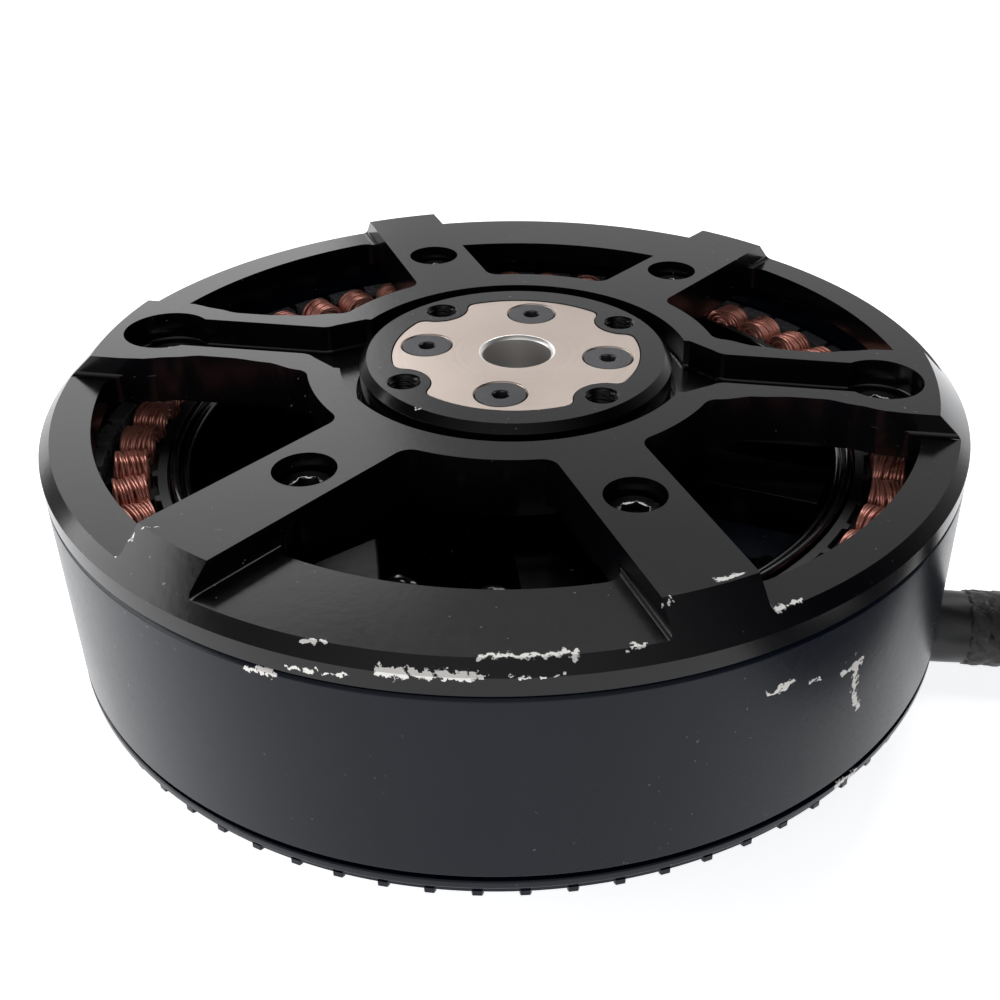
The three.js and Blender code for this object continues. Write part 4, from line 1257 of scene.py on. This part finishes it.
# ---------- rotor: flux ring, magnets and bearings ----------
def add_flux_ring():
    edge = 0.45
    ring = lathe("flux_ring_look", [
        (71.6, FLUX_BOTTOM), (OUTER_R - edge, FLUX_BOTTOM), (OUTER_R, FLUX_BOTTOM + edge),
        (OUTER_R, FLUX_TOP - edge), (OUTER_R - edge, FLUX_TOP), (71.6, FLUX_TOP),
    ], 288)
    soften(ring, 0.12, 2, 25, worn=True)
    return piece(ring, "rotor", [RING, RING_EDGE], ["flux_ring"])


def band(inner, outer, bottom, top):
    return [(inner, bottom), (outer, bottom), (outer, top), (inner, top)]


def add_magnets():
    """A ring of curved blocks on a thin bed of glue."""
    step = 360 / MAGNETS
    bottom, top = low("magnet_ring"), high("magnet_ring")
    bm = bmesh.new()
    for i in range(MAGNETS):
        start = (i + 0.02) * step
        end = (i + 0.82) * step
        outline = arc(68.1, end, start, 4) + arc(71.0, start, end, 4)
        add_prism(bm, outline, bottom, top)
    blocks = to_object("magnet_blocks", bm)
    soften(blocks, 0.22, 2, 30)
    glue = lathe("magnet_glue", band(70.3, 71.3, bottom + 0.3, top - 0.3), 168)
    smooth(glue)
    piece(blocks, "rotor", [MAGNET], ["magnet_ring"])
    piece(glue, "rotor", [LINER], ["magnet_ring"])


def race(name, inner, outer, bottom, top, groove_outside):
    """A bearing race with rounded edges and its ball groove."""
    middle = (bottom + top) / 2
    c = 0.3
    side = outer if groove_outside else inner
    into = -1 if groove_outside else 1
    groove = []
    for k in range(9):
        a = math.radians(-80 + 20 * k)
        groove.append((side + into * 0.6 * math.cos(a) ** 2, middle + 1.5 * math.sin(a)))
    on_outside, on_inside = (groove, []) if groove_outside else ([], groove[::-1])
    profile = [(inner + c, bottom), (outer - c, bottom), (outer, bottom + c), *on_outside, (outer, top - c),
               (outer - c, top), (inner + c, top), (inner, top - c), *on_inside, (inner, bottom + c)]
    return smooth(lathe(name, profile, 96))


def add_balls(name, bottom, top, node):
    middle = (bottom + top) / 2
    bm = bmesh.new()
    for i in range(9):
        x, y = polar(13.1, 40 * i)
        place = Matrix.Translation((x * MM, y * MM, middle * MM))
        bmesh.ops.create_uvsphere(bm, u_segments=24, v_segments=14, radius=1.18 * MM, matrix=place)
    balls = to_object(name, bm)
    smooth(balls)
    cage = lathe(f"{name}_cage", band(12.6, 13.6, middle - 1.5, middle - 0.5), 72)
    smooth(cage)
    piece(balls, "stator", [STEEL], [node])
    piece(cage, "stator", [STEEL], [node])


def add_bearings():
    for where in ("upper", "lower"):
        bottom, top = low(f"{where}_bearing_outer_race"), high(f"{where}_bearing_outer_race")
        outer = race(f"{where}_outer_race_look", 14.4, 15.7, bottom, top, False)
        piece(outer, "stator", [STEEL], [f"{where}_bearing_outer_race"])
        inner = race(f"{where}_inner_race_look", 10.3, 11.8, bottom, top, True)
        piece(inner, "rotor", [STEEL], [f"{where}_bearing_inner_race"])
        add_balls(f"{where}_balls_look", bottom, top, f"{where}_bearing_balls")
    bottom, top = low("bearing_spacer"), high("bearing_spacer")
    spacer = lathe("spacer_look", band(10.3, 11.6, bottom, top), 96)
    piece(soften(spacer, 0.15, 2, 30), "rotor", [STEEL], ["bearing_spacer"])


def add_wave_washer():
    bottom, top = low("preload_washer"), high("preload_washer")
    thick = 0.3
    count = 96
    points = []
    for i in range(count):
        a = 360 * i / count
        lift = (top - bottom - thick) * (0.5 + 0.5 * math.sin(math.radians(3 * a)))
        points += [(*polar(r, a), bottom + lift + z) for r, z in band(14.3, 15.7, 0, thick)]
    faces = []
    for i in range(count):
        a, b = 4 * i, 4 * ((i + 1) % count)
        faces += [(a + k, b + k, b + (k + 1) % 4, a + (k + 1) % 4) for k in range(4)]
    bm = bmesh.new()
    add_faces(bm, points, faces)
    washer = smooth(to_object("wave_washer", bm))
    piece(washer, "stator", [STEEL], ["preload_washer"])


def add_circlip():
    """An open ring with two eyes for the pliers."""
    bottom, top = low("shaft_circlip"), high("shaft_circlip")
    outline = [polar(9.3, 12), *arc(11.0, 12, 348, 60), polar(9.3, 348), *arc(9.3, 348, 12, 60)[1:-1]]
    clip = prism("circlip_look", outline, bottom, top)
    carve(clip, [spun(rod(1.5, bottom, top), angle, 10.9) for angle in (17, -17)], "UNION")
    carve(clip, [join([spun(rod(0.6, 10, 25, 20), angle, 11.1) for angle in (17, -17)])])
    soften(tidy(clip), 0.08, 2, 30)
    piece(clip, "rotor", [BLACK_SCREW_AND_SOCKET_SHADE], ["shaft_circlip"])


add_flux_ring()
add_magnets()
add_bearings()
add_wave_washer()
add_circlip()


# ---------- stator: base, carrier, housing and core ----------
def rib_outline():
    step = 360 / RIBS
    points = []
    for i in range(RIBS):
        for radius, share in ((56, -0.2), (73.8, -0.13), (74.2, -0.10), (74.2, 0.10), (73.8, 0.13), (56, 0.2)):
            points.append(polar(radius, (i + share) * step))
    return points


def add_base():
    bottom = 16.1
    base = lathe("base_plate_look", [
        (14, 0), (34, 0), (34, bottom), (74, bottom), (74, 17.6), (OUTER_R - 0.1, 17.8), (OUTER_R, 18.0),
        (OUTER_R, BAND_TOP - 0.2), (OUTER_R - 0.2, BAND_TOP), (71, BAND_TOP), (71, 18.4), (14, 18.4),
    ], 288)
    ribs = prism("ribs", rib_outline(), 15.5, bottom + 0.3)
    carve(ribs, [rod(54.5, 10, 20, 96)])
    carve(base, [ribs], "UNION")
    block = [(30, -9.5), (52.5, -9.5), (54, -8), (54, 8), (52.5, 9.5), (30, 9.5)]
    outlet = prism("outlet", block, 0, bottom + 0.5)
    carve(base, [spun(outlet, CABLE_ANGLE)], "UNION")
    bore = moved(turned(rod(CABLE_R + 0.3, 36, 60, 48), 90, "Y"), z=OUTLET_Z)
    carve(base, [spun(bore, CABLE_ANGLE)])
    slot = prism("slot", [(x + 45, y) for x, y in box_outline(15, 6.4, 3.0)], CABLE_R, 30)
    carve(base, [spun(slot, CABLE_ANGLE)])
    carve(base, [join([spun(rod(3.6, -1, 10), angle, BASE_SCREW_R) for angle in BASE_SCREWS])])
    carve(base, [join([spun(rod(SMALL_HOLE_R, 9, 30), angle, BASE_SCREW_R) for angle in BASE_SCREWS])])
    mounts = []
    for angle in (45, 135, 225, 315):
        tool = turned(moved(threaded(2.1, 0, 10), z=-10), 180, "X")
        mounts.append(spun(moved(tool, z=-0.05), angle, 28.5))
    carve(base, [join(mounts)])
    tidy(base)
    soften(base, 0.16, 2, 30, worn=True)
    return piece(base, "stator", [RING, RING_EDGE], ["base_plate"])


def add_carrier():
    top = CARRIER_TOP
    ring = lathe("stator_carrier_look", [
        (54.2, CARRIER_BOTTOM), (57.3, CARRIER_BOTTOM), (57.3, top - 0.6), (57.1, top - 0.2), (56.7, top),
        (56.3, top - 0.1), (55.95, top - 0.4), (55.8, 45.2), (55.6, 44.8), (55.4, 45.2), (55.1, 45.4),
        (54.7, 45.3), (54.4, 45.0), (54.2, 44.6),
    ], 240)
    soften(ring, 0.15, 2, 25, worn=True)
    return piece(ring, "stator", [CARRIER, CARRIER_EDGE], ["stator_carrier"])


def add_housing():
    top = HOUSING_TOP
    upper, lower = low("upper_bearing_outer_race"), low("lower_bearing_outer_race")
    housing = lathe("bearing_housing_look", [
        (16, CARRIER_BOTTOM), (26, CARRIER_BOTTOM), (26, top - 0.6), (25.4, top), (16.6, top),
        (16, top - 0.6), (16, upper - 0.3), (14, upper - 0.3), (14, lower + 7.3), (16, lower + 7.3),
    ], 144)
    lower_side = [(24, -7.2), (29, -5.6), (33, -5.2), (53.5, -5.2)]
    outline = lower_side + [(x, -y) for x, y in reversed(lower_side)]
    for i in range(6):
        arm = prism("arm", outline, 39, top)
        carve(housing, [spun(arm, -13.5 + 60 * i)], "UNION")
    holes = [spun(rod(SMALL_HOLE_R, 10, 30, 24), angle, BASE_SCREW_R) for angle in BASE_SCREWS]
    carve(housing, [join(holes)])
    tidy(housing)
    soften(housing, 0.4, 3, 30, worn=True)
    return piece(housing, "stator", [CARRIER, CARRIER_EDGE], ["bearing_housing"])


def add_core():
    outline = []
    half_tooth = 1.6
    root = math.degrees(math.asin(half_tooth / 60.2))
    neck = math.degrees(math.asin(half_tooth / 66.2))
    for i in range(SLOTS):
        a = (i + 0.5) * SLOT_PITCH
        outline += [polar(60.2, a - root), polar(66.2, a - neck), polar(66.9, a - 2.9)]
        outline += arc(67.5, a - 3.1, a + 3.1, 4)
        outline += [polar(66.9, a + 2.9), polar(66.2, a + neck), polar(60.2, a + root)]
    bottom, top = low("stator_core"), high("stator_core")
    core = prism("stator_core_look", outline, bottom, top)
    carve(core, [rod(57.6, 10, 60, 192)])
    soften(tidy(core), 0.1, 1, 40)
    piece(core, "stator", [CORE], ["stator_core"])


def add_insulator(node, name):
    """A ring with a comb of short fingers that part the coils."""
    bottom, top = low(node), high(node)
    outline = []
    for i in range(SLOTS):
        a = i * SLOT_PITCH
        outline += [polar(59.3, a - 2.9), polar(59.3, a - 0.9), polar(60.1, a - 0.7), polar(60.1, a + 0.7),
                    polar(59.3, a + 0.9), polar(59.3, a + 2.9)]
    ring = prism(name, outline, bottom, top)
    carve(ring, [rod(57.75, 10, 60, 192)])
    soften(tidy(ring), 0.12, 2, 30)
    piece(ring, "stator", [LINER], [node])


WIRE_R = 0.29
TURNS_ACROSS = 10
LAYER_STEP = 0.55
LAYERS = 5
COIL_HALF = 3.6 - WIRE_R - 0.02
COIL_INSIDE = 60.6 + WIRE_R
COIL_OUTSIDE = 66.1 - WIRE_R
WIRE_PITCH = (66.1 - 60.6 - 2 * WIRE_R) / (TURNS_ACROSS - 1)


def wire_arch(radius, slant, lift, layer):
    """The upper end of one turn of a coil on a tooth along +X: up, over in an arch and down again."""
    half = COIL_HALF - layer * LAYER_STEP
    top = COIL_TOP - WIRE_R - 0.12 - layer * LAYER_STEP + lift
    corner = min(2.9 - 0.5 * layer, half - 0.05)
    steps = 6 if layer == 0 else 4
    middle = (COIL_TOP + COIL_BOTTOM) / 2
    points = [(half, middle)]
    for cy, start in ((half - corner, 0), (corner - half, 90)):
        points += arc(corner, start, start + 90, steps, (cy, top - corner))
    points.append((-half, middle))
    return [(radius + slant * y / half, y, z) for y, z in points]


def wire_turn(radius, slant, lift, layer):
    """One whole turn: the upper arch and the same again below, with the slant the other way."""
    upper = wire_arch(radius, slant, lift, layer)
    total = COIL_TOP + COIL_BOTTOM
    lower = [(2 * radius - x, y, total - z) for x, y, z in reversed(upper[1:-1])]
    return upper[1:-1] + lower


def add_coil(bm, degrees):
    """One tooth's coil: layers of turns, each leaning the other way from the one below."""
    lean = random.choice((-1, 1)) * random.uniform(0.6, 1.0)
    turn = math.radians(degrees)
    c, s = math.cos(turn), math.sin(turn)
    for layer in range(LAYERS):
        lean = -lean
        for k in range(TURNS_ACROSS):
            room = min(k, TURNS_ACROSS - 1 - k) * WIRE_PITCH
            slant = lean * min(WIRE_PITCH * random.uniform(1.2, 2.2), room + 0.25)
            lift = random.uniform(-0.38, 0.0)
            radius = COIL_INSIDE + k * WIRE_PITCH + random.uniform(-0.1, 0.1)
            radius = min(max(radius, COIL_INSIDE + abs(slant)), COIL_OUTSIDE - abs(slant))
            if layer == 0:
                path, sides = wire_turn(radius, slant, lift, layer), 8
            else:
                path, sides = wire_arch(radius, slant, lift / 2, layer), 5
            path = [(x * c - y * s, x * s + y * c, z) for x, y, z in path]
            sweep(bm, path, WIRE_R, sides, closed=layer == 0)


def add_windings():
    """Three phases: each has every third pair of teeth and a ring of wire that joins its coils below."""
    for phase, letter in enumerate("abc"):
        angles = [(tooth + 0.5) * SLOT_PITCH for tooth in range(SLOTS) if tooth // 2 % 3 == phase]
        bm = bmesh.new()
        for angle in angles:
            add_coil(bm, angle)
        ring_r = 61 + phase * 1.9 + 0.4
        sweep(bm, [(*polar(ring_r, 3.75 * i), 20.7) for i in range(96)], 0.4, 8, closed=True)
        for angle in angles:
            x, y = polar(ring_r, angle)
            sweep(bm, [(x, y, 20.8), (x, y, 21.8), (x, y, COIL_BOTTOM + 0.6)], 0.38, 8)
        ob = to_object(f"phase_{letter}_wire", bm)
        ob.data.shade_smooth()
        piece(ob, "stator", [COPPER], [f"winding_{letter}"])


SPLICE_ANGLES = (-99.5, -84, -63)
SPLICE_R = 50.2
LEAD_LANES = (40.6, 45, 49.4)


def lead_radius(phase):
    """A sleeve that is pulled over its wire unevenly."""
    def radius(i, angle):
        return 1.98 + 0.05 * math.sin(i * 0.9 + phase) + 0.03 * math.sin(3 * angle + i * 0.4)
    return radius


def add_leads():
    """Three sleeved leads: down from the splices, round the floor of the motor and out through the slot."""
    for i, letter in enumerate("abc"):
        lane, start = LEAD_LANES[i], SPLICE_ANGLES[i]
        knots = [(*polar(SPLICE_R, start), 42.7), (*polar(SPLICE_R, start), 37),
                 (*polar((SPLICE_R + lane) / 2, start + 1), 28), (*polar(lane, start + 6), 21.8)]
        run_start, run_end = start + 12, CABLE_ANGLE - 9
        knots += [(*polar(lane, run_start + (run_end - run_start) * k / 6), 21) for k in range(7)]
        knots += [(*polar(lane, CABLE_ANGLE - 1), 19.6), (*polar(lane, CABLE_ANGLE), 16),
                  (*polar(lane, CABLE_ANGLE), 10)]
        path = curve_points(knots, 10)
        bm = bmesh.new()
        sweep(bm, path, lead_radius(random.uniform(0, 6)), 20)
        lead = to_object(f"lead_{letter}_sleeve", bm)
        smooth(lead)
        piece(lead, "stator", [LEAD], [f"phase_lead_{letter}"])
        add_splice(letter, start)


def add_splice(letter, angle):
    """A lump of lacquered solder and tape with wire ends standing in it."""
    bm = bmesh.new()
    bmesh.ops.create_uvsphere(bm, u_segments=48, v_segments=32, radius=1)
    seed = random.uniform(0, 20)
    for v in bm.verts:
        x, y, z = v.co
        knob = 0.05 * math.sin(5 * x + seed) * math.cos(6 * y - seed) + 0.04 * math.sin(9 * z + 7 * x + seed)
        ridge = 0.035 * math.sin(14 * z + 3 * y + seed)
        r = 0.93 + knob + ridge
        v.co = Vector((3.0 * x * r, 3.2 * y * r, 2.9 * z * r)) * MM
    bm.transform(Matrix.Translation((SPLICE_R * MM, 0, 45.9 * MM)))
    bm.transform(Matrix.Rotation(math.radians(angle), 4, "Z"))
    lump = to_object(f"splice_{letter}_lump", bm)
    lump.data.shade_smooth()
    piece(lump, "stator", [LEAD], [f"phase_splice_{letter}"])


def add_base_screws():
    """The screws that hold the housing, with their heads below."""
    for number, angle in enumerate(BASE_SCREWS, 1):
        screw = cap_screw(f"base_cap_screw_{number}", -10.3, 3.2, 3.2, -26, 1.9, 3)
        spun(turned(screw, 180, "X"), angle, BASE_SCREW_R)
        piece(screw, "stator", [BLACK_SCREW_AND_SOCKET_SHADE], [f"base_screw_{number}"])


add_base()
add_carrier()
add_housing()
add_core()
add_insulator("upper_insulator", "upper_comb")
add_insulator("lower_insulator", "lower_comb")
add_windings()
add_leads()
add_base_screws()


# ---------- stage ----------
def add_light(name, place, size, width, radiance):
    """A soft rectangular lamp that faces the motor, with its radiance rather than its power."""
    data = bpy.data.lights.new(name, "AREA")
    data.shape = "RECTANGLE"
    data.size = size
    data.size_y = width
    data.energy = radiance * math.pi * size * width
    lamp = bpy.data.objects.new(name, data)
    scene.collection.objects.link(lamp)
    lamp.location = place
    lamp.rotation_euler = (-Vector(place)).to_track_quat("-Z", "Y").to_euler()


def add_floor():
    bm = bmesh.new()
    bmesh.ops.create_grid(bm, x_segments=1, y_segments=1, size=4.0)
    floor = to_object("floor", bm)
    n = Nodes("floor_paper")
    n.set(color=n.mix(n.noise(3, 3), (0.92, 0.92, 0.93), (0.95, 0.95, 0.96)), roughness=0.9,
          normal=n.bump(n.noise(500, 2), 0.04, 0.0002))
    n.shader.inputs["Emission Color"].default_value = (0.98, 0.985, 1.0, 1)
    n.shader.inputs["Emission Strength"].default_value = 0.8
    floor.data.materials.append(n.material)
    floor.location.z = -0.0001


ROOM_FAR = 1.0
ROOM_NEAR = 1.4


def add_surroundings():
    """A pale room: light comes from behind the motor and from the viewer's side, little from above."""
    world = bpy.data.worlds.new("room")
    scene.world = world
    world.use_nodes = True
    tree = world.node_tree

    def maths(operation, *values):
        node = tree.nodes.new("ShaderNodeMath")
        node.operation = operation
        for socket, value in zip(node.inputs, values):
            if isinstance(value, float):
                socket.default_value = value
            else:
                tree.links.new(value, socket)
        return node.outputs[0]

    coords = tree.nodes.new("ShaderNodeTexCoord")
    parts = tree.nodes.new("ShaderNodeSeparateXYZ")
    tree.links.new(coords.outputs["Generated"], parts.inputs[0])
    away = parts.outputs[1]
    level = maths("MULTIPLY_ADD", maths("GREATER_THAN", away, 0.0), ROOM_FAR - ROOM_NEAR, ROOM_NEAR)
    back = tree.nodes["Background"]
    back.inputs["Color"].default_value = (0.98, 0.985, 1.0, 1)
    tree.links.new(maths("MULTIPLY", level, maths("MULTIPLY", away, away)), back.inputs["Strength"])


add_floor()
add_surroundings()
add_light("left_window", (-1.6, -0.3, 0.5), 1.4, 0.7, 4.0)
add_light("far_window", (-1.0, 1.3, 0.9), 1.2, 0.8, 1.6)
add_light("overhead", (0.0, 0.8, 1.4), 1.2, 0.6, 3.6)
scene.view_settings.view_transform = "Standard"
